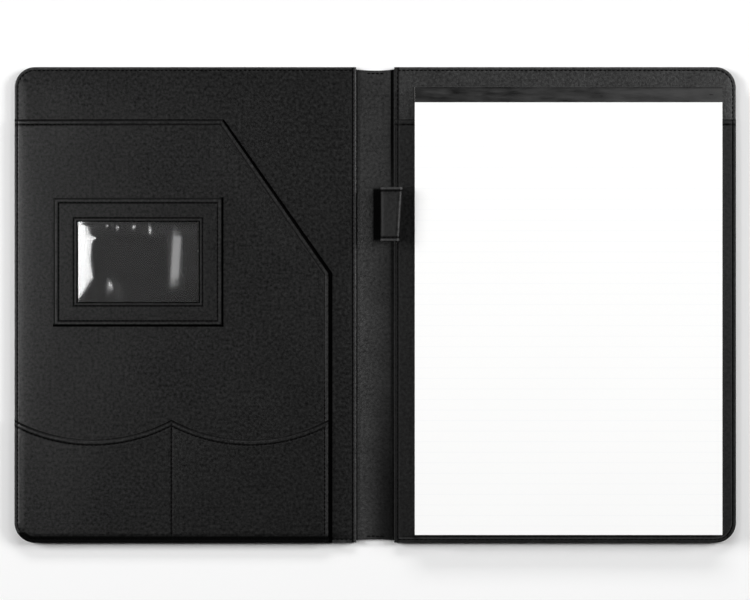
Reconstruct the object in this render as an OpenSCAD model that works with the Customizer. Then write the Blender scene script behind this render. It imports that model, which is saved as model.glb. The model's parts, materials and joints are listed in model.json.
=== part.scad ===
// Multi-pocket folder, open flat on a table: pockets on the left, a writing pad on the right.
// +X runs to the right, +Y to the head of the folder and +Z up from the table.
// The origin is the middle of the open folder's footprint.

/* [Writing pad] */
// Width of the pad
pad_w = 210; // [180:1:240]
// Length of the pad, from the bound head to the foot
pad_l = 306; // [270:1:340]
// Height of the block of sheets
sheets_t = 5; // [3:0.5:6]
// Thickness of the loose top sheet
leaf_t = 0.15; // [0.1:0.05:0.3]
// Thickness of the backing board
backboard_t = 1; // [0.6:0.1:1.2]
// Width of the binding tape on the face of the pad
tape_w = 10.5; // [8:0.5:16]
// Thickness of the binding tape
tape_t = 0.2; // [0.1:0.05:0.3]
// Depth of the glue that holds the sheets to the backing board at the head
glue_l = 8; // [5:0.5:12]

/* [Room round the pad] */
// From the sewn rim at the spine to the pad
pad_spine_gap = 8.5; // [8:0.5:12]
// From the pad to the sewn rim at the outer edge
pad_edge_gap = 4.5; // [1:0.5:10]
// From the pad to the sewn rim at the head
pad_head_gap = 8.5; // [2:0.5:16]
// From the sewn rim at the foot to the pad
pad_foot_gap = 0.2; // [0.2:0.1:6]

/* [Covers] */
// Thickness of the outer skin
skin_t = 0.9; // [0.6:0.1:1.2]
// Thickness of the padding foam
foam_t = 1; // [0.6:0.1:2]
// Thickness of the stiff board
board_t = 1.6; // [1.2:0.1:2.5]
// Thickness of the inside lining
lining_t = 0.7; // [0.5:0.1:0.9]
// Width of the sewn rim, outside the board
rim_w = 5.5; // [5.2:0.1:8]
// Radius of the outer corners
corner_r = 14; // [10:0.5:24]

/* [Spine] */
// Gap between the two covers
spine_gap = 26; // [25:0.5:40]
// Thickness of the spine's stiffening strip
stiffener_t = 0.6; // [0.3:0.1:0.6]
// From the fold line to the raised middle of the spine
spine_step = 1.4; // [1.2:0.1:3]
// How much shorter the spine is than the covers, at each end
spine_short = 1.5; // [0.5:0.1:4]

/* [Pockets] */
// Thickness of the pocket panels
panel_t = 0.7; // [0.5:0.1:0.9]
// From the head of the cover to the top edges of the document and pad pockets
pocket_drop = 37; // [30:0.5:60]
// From the spine edge of the cover to the free edge of the document pocket
pocket_spine_gap = 19; // [16:0.5:30]
// Width of the corner cut off the document pocket
cut_w = 72.5; // [50:0.5:90]
// Length of the corner cut off the document pocket
cut_l = 104.5; // [60:0.5:120]
// Room for papers in the document pocket
paper_room = 0.8; // [0.4:0.1:1.5]
// Height of the card pockets at their points
card_pocket_l = 83; // [60:0.5:110]
// Depth of the scallop at each card pocket's mouth
scallop = 13.5; // [6:0.5:20]
// Room for cards in the card pockets and behind the window
card_room = 0.6; // [0.4:0.1:1.2]
// Width of the strip by which a patch is sewn down
hem_w = 4; // [3.6:0.1:6]

/* [Card window] */
// Width of the window
window_w = 83; // [60:0.5:95]
// Length of the window
window_l = 55; // [40:0.5:65]
// Width of the frame round the window
frame_border = 15.5; // [12:0.5:20]
// From the outer edge of the cover to the frame
frame_in = 27.8; // [15:0.1:40]
// From the document pocket's top edge to the frame
frame_drop = 53.5; // [20:0.5:60]
// Thickness of the clear film
film_t = 0.25; // [0.15:0.05:0.4]
// How far the film runs under the frame
film_lap = 5; // [4:0.5:7]

/* [Pen loop] */
// Diameter of the loop's bore
loop_bore = 11.4; // [9:0.1:11.6]
// Thickness of the loop's strap
strap_t = 0.9; // [0.7:0.1:1]
// Width of the strap, along the pen
loop_l = 37; // [25:0.5:60]
// From the head of the cover to the middle of the loop
loop_drop = 101; // [70:1:200]
// From the cover's spine edge to the line where the loop is sewn down
loop_root_in = 1.2; // [1.1:0.1:1.6]
// Length of the doubled strap between that line and the ring
loop_neck = 3.3; // [2.5:0.1:3.4]
// How far the open loop leans over the spine, in degrees
loop_lean = 13; // [5:1:20]

/* [Stitching] */
// Width of a row of stitches
thread_w = 0.6; // [0.4:0.1:0.8]
// Height of a row of stitches
thread_h = 0.3; // [0.2:0.05:0.4]
// From the edge of a cover to its stitching
stitch_in = 2.3; // [1.8:0.1:2.5]
// From the edge of a pocket or patch to its stitching
hem_stitch_in = 2.6; // [2:0.1:3]

/* [Clearances] */
// Running clearance of pieces that slide or fold past each other
slide_clear = 0.1; // [0.05:0.05:0.2]
// Room between the rim and the board and foam inside it
board_clear = 0.3; // [0.1:0.1:0.6]
// Room on each side of a row of stitches in its groove
groove_clear = 0.1; // [0.05:0.05:0.2]
// Room between a fold's round and the cover's edge beside it
fold_clear = 0.15; // [0.1:0.05:0.15]
// Room between the folded spine and the edge of a cover
gutter_clear = 0.2; // [0.2:0.05:0.6]

/* [Hidden] */
$fn = 64;

skin_colour = [0.13, 0.13, 0.135];
lining_colour = [0.17, 0.17, 0.175];
thread_colour = [0.05, 0.05, 0.05];
board_colour = [0.55, 0.5, 0.43];
foam_colour = [0.35, 0.35, 0.36];
paper_colour = [0.97, 0.97, 0.96];
tape_colour = [0.2, 0.2, 0.21];

// Footprint of one cover
cover_w = 2 * rim_w + pad_spine_gap + pad_w + pad_edge_gap;
cover_l = 2 * rim_w + pad_head_gap + pad_l + pad_foot_gap;
head_y = cover_l / 2;
foot_y = -cover_l / 2;

// Heights of the layers of a cover, from the table up
foam_z = skin_t;
board_z = foam_z + foam_t;
lining_z = board_z + board_t;
lining_top = lining_z + lining_t;
lining_rim_z = 2 * skin_t;
rim_top = lining_rim_z + 2 * lining_t;
pocket_rim_top = rim_top + panel_t;
card_rim_top = pocket_rim_top + panel_t;

// Walls of the layers at the rim, each one outside the layer below
lining_wall_in = rim_w;
pocket_wall_in = lining_wall_in - lining_t;
card_wall_in = pocket_wall_in - panel_t;

// Spine and its fold lines: the gutter beside a cover is as wide as the spine is high above the fold
gutter_top = skin_t + lining_t;
spine_top = gutter_top + stiffener_t;
fold_r = gutter_top / 2;
gutter_w = spine_top - fold_r + gutter_clear;
fold_x = spine_gap / 2 - gutter_w;
flap_w = gutter_w - fold_r - fold_clear;
spine_l = cover_l - 2 * spine_short;
spine_raised_half = fold_x - spine_step;
stiffener_half = spine_raised_half - lining_t;
spine_stitch_half = fold_x - rim_w;

// Document pocket
pocket_top_y = head_y - pocket_drop;
doc_z = lining_top + paper_room;
doc_top = doc_z + panel_t;
cut_diagonal = norm([cut_w, cut_l]);

// Card pockets: two bays, each with a round scallop
card_top_y = foot_y + card_pocket_l;
card_z = doc_top + card_room;
card_top = card_z + panel_t;
bay_w = (cover_w - pocket_spine_gap) / 2;
scallop_r = (pow(bay_w / 2, 2) + pow(scallop, 2)) / (2 * scallop);
divider_x = pocket_spine_gap + bay_w;

// Card window
film_z = doc_top + card_room;
frame_z = film_z + film_t;
frame_top = frame_z + panel_t;
frame_w = window_w + 2 * frame_border;
frame_l = window_l + 2 * frame_border;
frame_x = cover_w - frame_in - frame_w;
frame_y = pocket_top_y - frame_drop - frame_l;

// Pad and its pocket
pad_x = rim_w + pad_spine_gap;
pad_head_y = head_y - rim_w - pad_head_gap;
pad_foot_y = pad_head_y - pad_l;
tape_z = lining_top + slide_clear;
backboard_z = tape_z + tape_t;
backboard_top = backboard_z + backboard_t;
pad_pocket_z = backboard_top + slide_clear;
pad_pocket_top = pad_pocket_z + panel_t;
sheets_z = pad_pocket_top + thread_h + slide_clear;
sheets_top = sheets_z + sheets_t;
tape_top = sheets_top + tape_t;
tape_edge_y = pad_head_y - tape_w;
leaf_hinge_y = tape_edge_y - leaf_t;

// Pen loop
loop_r = loop_bore / 2;
loop_outer_r = loop_r + strap_t;
loop_reach = loop_outer_r + loop_neck;
loop_y = head_y - loop_drop;
loop_root_z = pocket_rim_top + strap_t + slide_clear;

// Placing: a cover is drawn with its spine edge on x = 0 and its outer edge at x = cover_w
module on_back() { translate([spine_gap / 2, 0, 0]) children(); }
module on_front() { mirror([1, 0, 0]) on_back() children(); }
module slab(z, t) { translate([0, 0, z]) linear_extrude(t) children(); }

// Outline of a cover, drawn in from its edge: square corners at the spine, round ones outside
module cover_outline(inset = 0) {
  translate([inset, foot_y + inset]) square([cover_w - corner_r - inset, cover_l - 2 * inset]);
  translate([cover_w - corner_r, foot_y + corner_r]) square([corner_r - inset, cover_l - 2 * corner_r]);
  for (end = [-1, 1]) translate([cover_w - corner_r, end * (head_y - corner_r)]) circle(corner_r - inset);
}

// Band of a cover between two distances from its edge
module rim_band(from, to) {
  difference() {
    cover_outline(from);
    cover_outline(to);
  }
}

// Sheet that is sewn down along the rim and steps up a wall to a raised panel
module tray(flange_z, flange_t, panel_z, t, wall_in) {
  slab(flange_z, flange_t) rim_band(0, wall_in);
  slab(flange_z, panel_z + t - flange_z) rim_band(wall_in - t, wall_in);
  slab(panel_z, t) cover_outline(wall_in - t);
}

// Row of stitches along the rim, and the groove that takes it
groove_w = thread_w + 2 * groove_clear;
module rim_stitches() { rim_band(stitch_in - thread_w / 2, stitch_in + thread_w / 2); }

// Row of stitches along a line through the points
module stitch_line(points) {
  for (i = [0 : len(points) - 2]) {
    run = points[i + 1] - points[i];
    translate(points[i]) rotate(atan2(run.y, run.x)) translate([0, -thread_w / 2])
      square([norm(run), thread_w]);
  }
  for (p = points) translate(p) circle(thread_w / 2);
}

// Covers: outer skin, foam, board and lining, sewn together round the rim
module cover_skin() {
  color(skin_colour) difference() {
    union() {
      slab(0, skin_t) cover_outline();
      slab(skin_t, skin_t) rim_band(0, rim_w);
      slab(0, gutter_top) translate([-flap_w, -spine_l / 2]) square([flap_w + rim_w, spine_l]);
    }
    slab(0, thread_h) rim_band(stitch_in - groove_w / 2, stitch_in + groove_w / 2);
  }
}

module cover_foam() { color(foam_colour) slab(foam_z, foam_t) cover_outline(rim_w + board_clear); }
module cover_board() { color(board_colour) slab(board_z, board_t) cover_outline(rim_w + board_clear); }
module cover_lining() {
  color(lining_colour) tray(lining_rim_z, 2 * lining_t, lining_z, lining_t, lining_wall_in);
}
module cover_outer_stitching() { color(thread_colour) slab(0, thread_h) rim_stitches(); }

module back_edge_stitching() {
  color(thread_colour) on_back() {
    slab(rim_top, thread_h) difference() {
      rim_stitches();
      pad_pocket_outline();
    }
    slab(pocket_rim_top, thread_h) intersection() {
      rim_stitches();
      pad_pocket_outline();
    }
  }
}

module front_edge_stitching() {
  color(thread_colour) on_front() {
    slab(rim_top, thread_h) difference() {
      rim_stitches();
      document_outline();
    }
    slab(pocket_rim_top, thread_h) difference() {
      intersection() {
        rim_stitches();
        document_outline();
      }
      card_outline();
    }
    slab(card_rim_top, thread_h) intersection() {
      rim_stitches();
      card_outline();
    }
  }
}

// Spine: skin and lining meet in a round fold on each fold line, with a stiff strip between them
module along_spine(l) { rotate([90, 0, 0]) linear_extrude(l, center = true) children(); }

module fold_beads() {
  for (side = [-1, 1]) translate([side * fold_x, fold_r]) circle(fold_r);
}

module spine_skin() {
  color(skin_colour) along_spine(spine_l) {
    translate([-fold_x, 0]) square([2 * fold_x, skin_t]);
    intersection() {
      fold_beads();
      translate([-spine_gap / 2, 0]) square([spine_gap, skin_t]);
    }
  }
}

module spine_stiffener() {
  color(board_colour) translate([-stiffener_half, -spine_l / 2 + rim_w, skin_t])
    cube([2 * stiffener_half, spine_l - 2 * rim_w, stiffener_t]);
}

module spine_lining() {
  color(lining_colour) difference() {
    along_spine(spine_l) {
      translate([-fold_x, skin_t]) square([2 * fold_x, lining_t]);
      translate([-spine_raised_half, skin_t]) square([2 * spine_raised_half, spine_top - skin_t]);
      intersection() {
        fold_beads();
        translate([-spine_gap / 2, skin_t]) square([spine_gap, lining_t]);
      }
    }
    translate([-stiffener_half, -spine_l / 2 + rim_w, skin_t])
      cube([2 * stiffener_half, spine_l - 2 * rim_w, stiffener_t]);
  }
}

module spine_stitching() {
  color(thread_colour) slab(spine_top, thread_h) for (end = [-1, 1]) {
    y = end * (spine_l / 2 - stitch_in);
    stitch_line([[-spine_stitch_half, y], [spine_stitch_half, y]]);
  }
}

// Document pocket: open at its top edge, its cut corner and its spine edge
module document_outline() {
  polygon([
    [pocket_spine_gap, foot_y], [pocket_spine_gap, pocket_top_y - cut_l],
    [pocket_spine_gap + cut_w, pocket_top_y], [cover_w, pocket_top_y], [cover_w, foot_y]
  ]);
}

module document_pocket() {
  color(lining_colour) on_front() intersection() {
    tray(rim_top, panel_t, doc_z, panel_t, pocket_wall_in);
    slab(0, doc_top) document_outline();
  }
}

// Stitching inside the free edges, with the cut corner's line moved in square to itself
module document_pocket_stitching() {
  inward = [cut_l, -cut_w] / cut_diagonal;
  along = [cut_w, cut_l] / cut_diagonal;
  start = [pocket_spine_gap, pocket_top_y - cut_l] + hem_stitch_in * inward;
  side_x = pocket_spine_gap + hem_stitch_in;
  top_y = pocket_top_y - hem_stitch_in;
  lower = start + along * (side_x - start.x) / along.x;
  upper = start + along * (top_y - start.y) / along.y;
  color(thread_colour) on_front() slab(doc_top, thread_h)
    stitch_line([[side_x, card_top_y + thread_w], lower, upper, [cover_w - pocket_wall_in, top_y]]);
}

// Card pockets: a scalloped panel sewn down at three sides and along the divider
module scallops(r) {
  for (bay = [0, 1]) translate([pocket_spine_gap + (bay + 0.5) * bay_w, card_top_y + scallop_r - scallop])
    circle(r, $fn = 128);
}

module card_outline() {
  difference() {
    translate([pocket_spine_gap, foot_y]) square([2 * bay_w, card_pocket_l]);
    scallops(scallop_r);
  }
}

// Part of the card panel on the cover's side of the sewn strip at its spine edge
module card_field(from_x) {
  translate([from_x, foot_y]) square([cover_w - from_x, card_pocket_l]);
}

module card_pocket() {
  strip_end = pocket_spine_gap + hem_w;
  color(lining_colour) on_front() intersection() {
    union() {
      intersection() {
        tray(pocket_rim_top, panel_t, card_z, panel_t, card_wall_in);
        union() {
          slab(0, card_top) card_field(strip_end - panel_t);
          slab(0, doc_top + panel_t) card_field(pocket_spine_gap);
        }
      }
      slab(doc_top, panel_t) translate([pocket_spine_gap, foot_y + card_wall_in - panel_t])
        square([hem_w, card_pocket_l]);
      slab(doc_top, card_top - doc_top) translate([strip_end - panel_t, foot_y + card_wall_in - panel_t])
        square([panel_t, card_pocket_l]);
      slab(doc_top, card_top - doc_top) translate([divider_x - panel_t / 2, foot_y + card_wall_in - panel_t])
        square([panel_t, card_pocket_l]);
    }
    slab(0, card_top) card_outline();
  }
}

module card_pocket_stitching() {
  strip_end = pocket_spine_gap + hem_w;
  side_x = pocket_spine_gap + hem_stitch_in;
  line_y = card_top_y - hem_stitch_in;
  color(thread_colour) on_front() {
    slab(card_top, thread_h) {
      intersection() {
        difference() {
          scallops(scallop_r + hem_stitch_in + thread_w / 2);
          scallops(scallop_r + hem_stitch_in - thread_w / 2);
        }
        translate([strip_end, card_top_y - scallop - 2 * hem_stitch_in])
          square([cover_w - card_wall_in - strip_end, scallop + 2 * hem_stitch_in]);
      }
      stitch_line([[divider_x, foot_y + card_wall_in], [divider_x, line_y]]);
    }
    slab(doc_top + panel_t, thread_h) stitch_line([[side_x, foot_y + card_wall_in], [side_x, line_y]]);
  }
}

// Card window: a frame sewn down at three sides and open towards the spine, with clear film behind it
module frame_field(inset) {
  translate([frame_x - inset, frame_y + inset]) square([frame_w, frame_l - 2 * inset]);
}

module window_opening(grow = 0) {
  translate([frame_x + frame_border - grow, frame_y + frame_border - grow])
    square([window_w + 2 * grow, window_l + 2 * grow]);
}

module window_frame() {
  color(lining_colour) on_front() difference() {
    intersection() {
      union() {
        slab(doc_top, panel_t) difference() {
          frame_field(0);
          frame_field(hem_w);
        }
        slab(doc_top, frame_top - doc_top) difference() {
          frame_field(hem_w - panel_t);
          frame_field(hem_w);
        }
        slab(frame_z, panel_t) frame_field(hem_w - panel_t);
      }
      slab(0, frame_top) frame_field(0);
    }
    slab(frame_z, panel_t) window_opening();
  }
}

module window_film() { color([0.8, 0.85, 0.9, 0.3]) on_front() slab(film_z, film_t) window_opening(film_lap); }

module window_stitching() {
  far_x = frame_x + frame_w - hem_stitch_in;
  low_y = frame_y + hem_stitch_in;
  high_y = frame_y + frame_l - hem_stitch_in;
  open_x = frame_x + hem_stitch_in;
  color(thread_colour) on_front() {
    slab(doc_top + panel_t, thread_h)
      stitch_line([[open_x, low_y], [far_x, low_y], [far_x, high_y], [open_x, high_y]]);
    slab(frame_top, thread_h) {
      stitch_line([[open_x, frame_y + hem_w + thread_w], [open_x, frame_y + frame_l - hem_w - thread_w]]);
      difference() {
        window_opening(hem_stitch_in + thread_w / 2);
        window_opening(hem_stitch_in - thread_w / 2);
      }
    }
  }
}

// Pad pocket: the panel that the pad's backing board slides behind
module pad_pocket_outline() { translate([0, foot_y]) square([cover_w, pocket_top_y - foot_y]); }

module pad_pocket() {
  color(lining_colour) on_back() intersection() {
    tray(rim_top, panel_t, pad_pocket_z, panel_t, pocket_wall_in);
    slab(0, pad_pocket_top) pad_pocket_outline();
  }
}

module pad_pocket_stitching() {
  y = pocket_top_y - hem_stitch_in;
  color(thread_colour) on_back() slab(pad_pocket_top, thread_h)
    stitch_line([[pocket_wall_in, y], [cover_w - pocket_wall_in, y]]);
}

// Pen loop: a strap closed in a ring, its two ends sewn together and down on the rim of the back cover
module at_loop() {
  on_back() translate([loop_root_in, loop_y, loop_root_z]) rotate([0, -loop_lean, 0]) children();
}
module pen_rod(r, l) { rotate([90, 0, 0]) cylinder(r = r, h = l, center = true); }
module loop_ring(outer, inner, l) {
  translate([0, 0, loop_reach]) difference() {
    pen_rod(outer, l);
    pen_rod(inner, 2 * l);
  }
}
module at_loop_hems() {
  for (end = [-1, 1]) translate([0, end * (loop_l / 2 - hem_stitch_in), 0]) children();
}

module pen_loop() {
  color(skin_colour) at_loop() difference() {
    union() {
      pen_rod(strap_t, loop_l);
      translate([-strap_t, -loop_l / 2, 0]) cube([2 * strap_t, loop_l, loop_neck + strap_t]);
      loop_ring(loop_outer_r, loop_r, loop_l);
    }
    at_loop_hems() loop_ring(loop_outer_r + groove_clear, loop_outer_r - thread_h, groove_w);
    translate([0, 0, loop_reach]) pen_rod(loop_r, 2 * loop_l);
  }
}

module pen_loop_stitching() {
  color(thread_colour) at_loop() at_loop_hems()
    loop_ring(loop_outer_r, loop_outer_r - thread_h + groove_clear, thread_w);
}

// Writing pad
module pad_field(from_y, to_y) { translate([pad_x, from_y]) square([pad_w, to_y - from_y]); }

module pad_backboard() {
  color(board_colour) on_back() slab(backboard_z, backboard_t) pad_field(pad_foot_y, pad_head_y);
}
module pad_sheets() {
  color(paper_colour) on_back() slab(sheets_z, sheets_t) pad_field(pad_foot_y, pad_head_y);
}
module pad_glue() {
  color([0.85, 0.85, 0.8]) on_back() slab(backboard_top, sheets_z - backboard_top)
    pad_field(pad_head_y - glue_l, pad_head_y);
}
module pad_binding_tape() {
  color(tape_colour) on_back() {
    slab(tape_z, tape_t) pad_field(tape_edge_y, pad_head_y + tape_t);
    slab(tape_z, tape_top - tape_z) pad_field(pad_head_y, pad_head_y + tape_t);
    slab(sheets_top, tape_t) pad_field(tape_edge_y, pad_head_y + tape_t);
  }
}

// Loose top sheet, with a round fold along the line where it turns
module top_sheet() {
  color(paper_colour) on_back() {
    slab(tape_top, leaf_t) pad_field(pad_foot_y, leaf_hinge_y);
    translate([pad_x, leaf_hinge_y, tape_top + leaf_t / 2]) rotate([0, 90, 0]) cylinder(d = leaf_t, h = pad_w);
  }
}

on_back() cover_skin();  // back_skin
on_back() cover_foam();  // back_foam
on_back() cover_board();  // back_board
on_back() cover_lining();  // back_lining
on_back() cover_outer_stitching();  // back_outer_stitching
back_edge_stitching();
pad_pocket();
pad_pocket_stitching();
spine_skin();
spine_stiffener();
spine_lining();
spine_stitching();
on_front() cover_skin();  // front_skin
on_front() cover_foam();  // front_foam
on_front() cover_board();  // front_board
on_front() cover_lining();  // front_lining
on_front() cover_outer_stitching();  // front_outer_stitching
front_edge_stitching();
document_pocket();
document_pocket_stitching();
card_pocket();
card_pocket_stitching();
window_film();
window_frame();
window_stitching();
pen_loop();
pen_loop_stitching();
pad_backboard();
pad_sheets();
pad_glue();
pad_binding_tape();
top_sheet();
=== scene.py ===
# %% [markdown]
# # A multi-pocket folder, open flat
# The folder lies open on a white table and is seen from straight above: pockets on the left, a writing
# pad on the right, a spine with a pen loop between them. The imported CAD model is the frame. Every new
# piece is laid where the CAD says, so nothing is fitted by eye.

# %% Load the frame
import json
import math

import bpy
import numpy as np
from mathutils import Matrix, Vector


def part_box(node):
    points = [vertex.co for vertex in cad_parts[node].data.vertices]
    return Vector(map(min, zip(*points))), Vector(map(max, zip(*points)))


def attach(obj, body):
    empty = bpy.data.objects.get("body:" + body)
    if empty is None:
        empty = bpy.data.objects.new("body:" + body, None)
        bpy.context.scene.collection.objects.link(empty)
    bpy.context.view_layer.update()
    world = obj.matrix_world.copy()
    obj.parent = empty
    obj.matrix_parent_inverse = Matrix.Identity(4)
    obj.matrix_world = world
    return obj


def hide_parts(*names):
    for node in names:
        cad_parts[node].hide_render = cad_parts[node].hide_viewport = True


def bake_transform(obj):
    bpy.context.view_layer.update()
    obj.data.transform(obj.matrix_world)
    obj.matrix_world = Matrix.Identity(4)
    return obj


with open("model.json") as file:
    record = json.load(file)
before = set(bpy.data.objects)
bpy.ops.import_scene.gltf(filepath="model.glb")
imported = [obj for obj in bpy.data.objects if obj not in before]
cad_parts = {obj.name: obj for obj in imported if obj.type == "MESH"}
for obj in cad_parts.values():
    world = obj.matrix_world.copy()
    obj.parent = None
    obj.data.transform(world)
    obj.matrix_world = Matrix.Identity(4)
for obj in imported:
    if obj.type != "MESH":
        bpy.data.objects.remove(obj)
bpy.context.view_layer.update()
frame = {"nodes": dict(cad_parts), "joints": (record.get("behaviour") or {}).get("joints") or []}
print("nodes in the frame:", len(frame["nodes"]))

# %% [markdown]
# ## Sizes
# The layers of this folder are less than a millimetre thick, so all shapes below are worked out in
# millimetres, and each mesh is scaled to Blender's metres as it is written. The places come from the
# boxes of the CAD nodes. Only what a box can't say, such as the distance of a seam from an edge, is
# written down here as a number.

# %% Read the main sizes
MM = 0.001  # a millimetre in metres


def corners(node_name):
    """Lowest and highest corner of a CAD node, in millimetres."""
    low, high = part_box(node_name)
    return np.array(low) / MM, np.array(high) / MM


lining_low, lining_high = corners("back_lining")
spine_low, spine_high = corners("spine_lining")
document_low, document_high = corners("document_pocket")
card_high = corners("card_pocket")[1]
pocket_high = corners("pad_pocket")[1]

SPINE_EDGE = lining_low[0]  # from the middle of the spine to a cover
COVER_W = lining_high[0] - lining_low[0]
FOOT, HEAD = lining_low[1], lining_high[1]
SKIN_T = corners("spine_skin")[1][2]
LINING_T = 0.7  # lining and pocket panels
RIM_W = 5.5  # sewn rim round the boards
CORNER_R = 14.0  # outer corners of a cover
STITCH_IN = 2.3  # from a cover's edge to its stitches
HEM_STITCH_IN = 2.6  # from a pocket's edge to its stitches
print(f"cover {COVER_W:.1f} by {HEAD - FOOT:.1f} mm, {2 * SPINE_EDGE:.1f} mm between the covers")

# %% [markdown]
# ## Soft steps
# Sewn sheets have no hard steps: a layer bends over the edge of the one below in an S, and a row of
# stitches pulls a soft dip into it. A smooth step and a bell are enough to describe both, and since they
# take whole arrays they give the height of every point of a sheet at once.

# %% Define the step, the strip, the bell and the rounded edge
BLUNT = 0.15  # share of its thickness that a sheet keeps at its very edge
SWAYS = (1.0, 0.0, 0.7), (1.37, 0.4 + math.pi / 2, 2.1), (0.61, 1.1, 4.0)  # rate, direction and phase


def ramp(value, start, end):
    """0 before start, 1 after end, and 3t^2 - 2t^3 of the way t between them."""
    t = np.clip((value - start) / (end - start), 0, 1)
    return t * t * (3 - 2 * t)


def soft_strip(value, start, end):
    """1 between two soft edges: a step up over the pair start, times a step down over the pair end."""
    return ramp(value, *start) * (1 - ramp(value, *end))


def bell(value, centre, width):
    """1 at the centre, falling off as e to the minus square of the distance over the width."""
    return np.exp(-(((value - centre) / width) ** 2))


def rounded(distance, radius):
    """Share of a sheet's half thickness near its edge: a quarter circle, from BLUNT at the edge to 1."""
    t = np.clip(distance / radius, 0, 1)
    return BLUNT + (1 - BLUNT) * np.sqrt(1 - (1 - t) ** 2)


def waves(x, y, length, turn=0.0):
    """Soft unevenness from -1 to 1: three sines of unlike lengths and directions, averaged."""
    total = 0
    for rate, direction, phase in SWAYS:
        along = x * math.cos(turn + direction) + y * math.sin(turn + direction)
        total = total + np.sin(2 * math.pi / length * rate * along + phase)
    return total / len(SWAYS)


print("step half way:", ramp(0.5, 0, 1))

# %% [markdown]
# ## Grid lines
# A flat sheet needs few points in its middle and many at its edges, where the hem, the seam and the step
# over the board lie. The distances of the lines from an edge grow as a power of their number, so they
# crowd at the edge and open out inwards.

# %% Space the grid lines
EDGE_LINES = CORNER_R * np.linspace(0, 1, 33) ** 1.8  # in from a cover's edge
HEM_LINES = 12.0 * np.linspace(0, 1, 29) ** 1.7  # in from a pocket's edge
NARROW_LINES = HEM_LINES[:18]  # in from the edge of a narrow piece
PANEL_STEP = 6.0  # between the lines in the middle of a sheet


def grid_lines(low, high, low_lines=EDGE_LINES, high_lines=EDGE_LINES, step=PANEL_STEP):
    """Lines from low to high: the given distances in from each end, and even steps between."""
    start, stop = low + low_lines[-1], high - high_lines[-1]
    count = max(2, round((stop - start) / step))
    inner = np.linspace(start, stop, count + 1)[1:-1]
    return np.concatenate([low + low_lines, inner, (high - high_lines)[::-1]])


print("lines across a cover:", len(grid_lines(0, COVER_W)))

# %% [markdown]
# ## From grids to meshes
# A sheet is two grids, its upper and its lower side, with a strip of wall round the edge between them.
# That closes it, so it can be measured and printed as well as rendered. Each piece also carries a UV map
# called cut, which is its place on the flat sheet in millimetres. The materials read it, so the grain
# keeps its size and stays on the sheet when it folds.

# %% Make a closed sheet
SHARP = math.radians(50)  # edges that bend more than this stay crisp


def quads(index):
    """The four corners of each cell of a grid of point numbers, anticlockwise from above."""
    return np.stack([index[:-1, :-1], index[:-1, 1:], index[1:, 1:], index[1:, :-1]], -1).reshape(-1, 4)


def border(index):
    """Point numbers once round the edge of a grid, anticlockwise from above."""
    return np.concatenate([index[0, :-1], index[:-1, -1], index[-1, :0:-1], index[:0:-1, 0]])


def both_sides(values):
    """Values at the points of a grid, for its upper and then its lower side."""
    return np.concatenate([values.reshape(-1, *values.shape[2:])] * 2)


def closed_sheet(top, bottom):
    """Points and faces of a sheet: the top grid, the bottom grid turned over, and the wall between them."""
    count = top.shape[0] * top.shape[1]
    index = np.arange(count).reshape(top.shape[:2])
    ring = border(index)
    after = np.roll(ring, -1)
    wall = np.stack([ring + count, after + count, after, ring], -1)
    faces = np.concatenate([quads(index), quads(index + count)[:, ::-1], wall])
    return np.concatenate([top.reshape(-1, 3), bottom.reshape(-1, 3)]), faces


print("faces of a grid of 3 by 4 points:", len(quads(np.arange(12).reshape(3, 4))))

# %% Make a piece


def new_piece(name, points, face_groups, material, cut, **marks):
    """A smooth mesh object at the origin from points in millimetres, with its cut map and its marks. Marks
    have a value for each point."""
    mesh = bpy.data.meshes.new(name)
    mesh.from_pydata((points * MM).tolist(), [], [face for group in face_groups for face in group.tolist()])
    mesh.shade_smooth()
    mesh.set_sharp_from_angle(angle=SHARP)
    corner_points = np.empty(len(mesh.loops), np.int32)
    mesh.loops.foreach_get("vertex_index", corner_points)
    mesh.uv_layers.new(name="cut").uv.foreach_set("vector", cut[corner_points].astype(np.float32).ravel())
    for mark_name, values in marks.items():
        mesh.attributes.new(mark_name, "FLOAT", "POINT").data.foreach_set("value", values.astype(np.float32))
    mesh.materials.append(material)
    piece = bpy.data.objects.new(name, mesh)
    bpy.context.scene.collection.objects.link(piece)
    return piece


def sheet_piece(name, x, y, top, bottom, material, rub=None, sewn=None):
    """A closed sheet over the grid x, y between two heights, with a mark of worn ridges and painted
    highlight, and a mark of seams and painted shade.
    """
    plain = np.zeros_like(x)
    points, faces = closed_sheet(np.stack([x, y, top], -1), np.stack([x, y, bottom], -1))
    cut = both_sides(np.stack([x, y], -1))
    rub, sewn = (both_sides(plain if mark is None else mark) for mark in (rub, sewn))
    print(f"{name}: {len(points)} points, {len(faces)} faces")
    return new_piece(name, points, [faces], material, cut, rub=rub, sewn=sewn)


def put_on(piece, body, node_name):
    """Lets a piece ride on a body in place of a CAD node, which is hidden."""
    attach(piece, body)
    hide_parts(node_name)


print("marks that a leather piece carries: rub, sewn")

# %% [markdown]
# ## Building materials
# Each material is a small graph of nodes round one shader. A helper that makes a node, sets its choices
# and joins its sockets keeps every graph short enough to read. Numbers that are the same all over a
# surface are set on the shader itself, because the exported model keeps only those.

# %% Write the node helpers


def join(tree, value, socket):
    """Gives a socket a link from another node's output, or a plain value."""
    if isinstance(value, bpy.types.NodeSocket):
        tree.links.new(value, socket)
    else:
        socket.default_value = value


def feed(tree, shader, **sockets):
    """Joins each named socket of a node. An underscore in the name stands for a space."""
    for key, value in sockets.items():
        join(tree, value, shader.inputs[key.replace("_", " ")])


def node(tree, kind, settings=None, **sockets):
    """A new shader node: settings are its own choices, and each socket gets a value or another's output."""
    made = tree.nodes.new("ShaderNode" + kind)
    for key, value in (settings or {}).items():
        setattr(made, key, value)
    feed(tree, made, **sockets)
    return made


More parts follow.
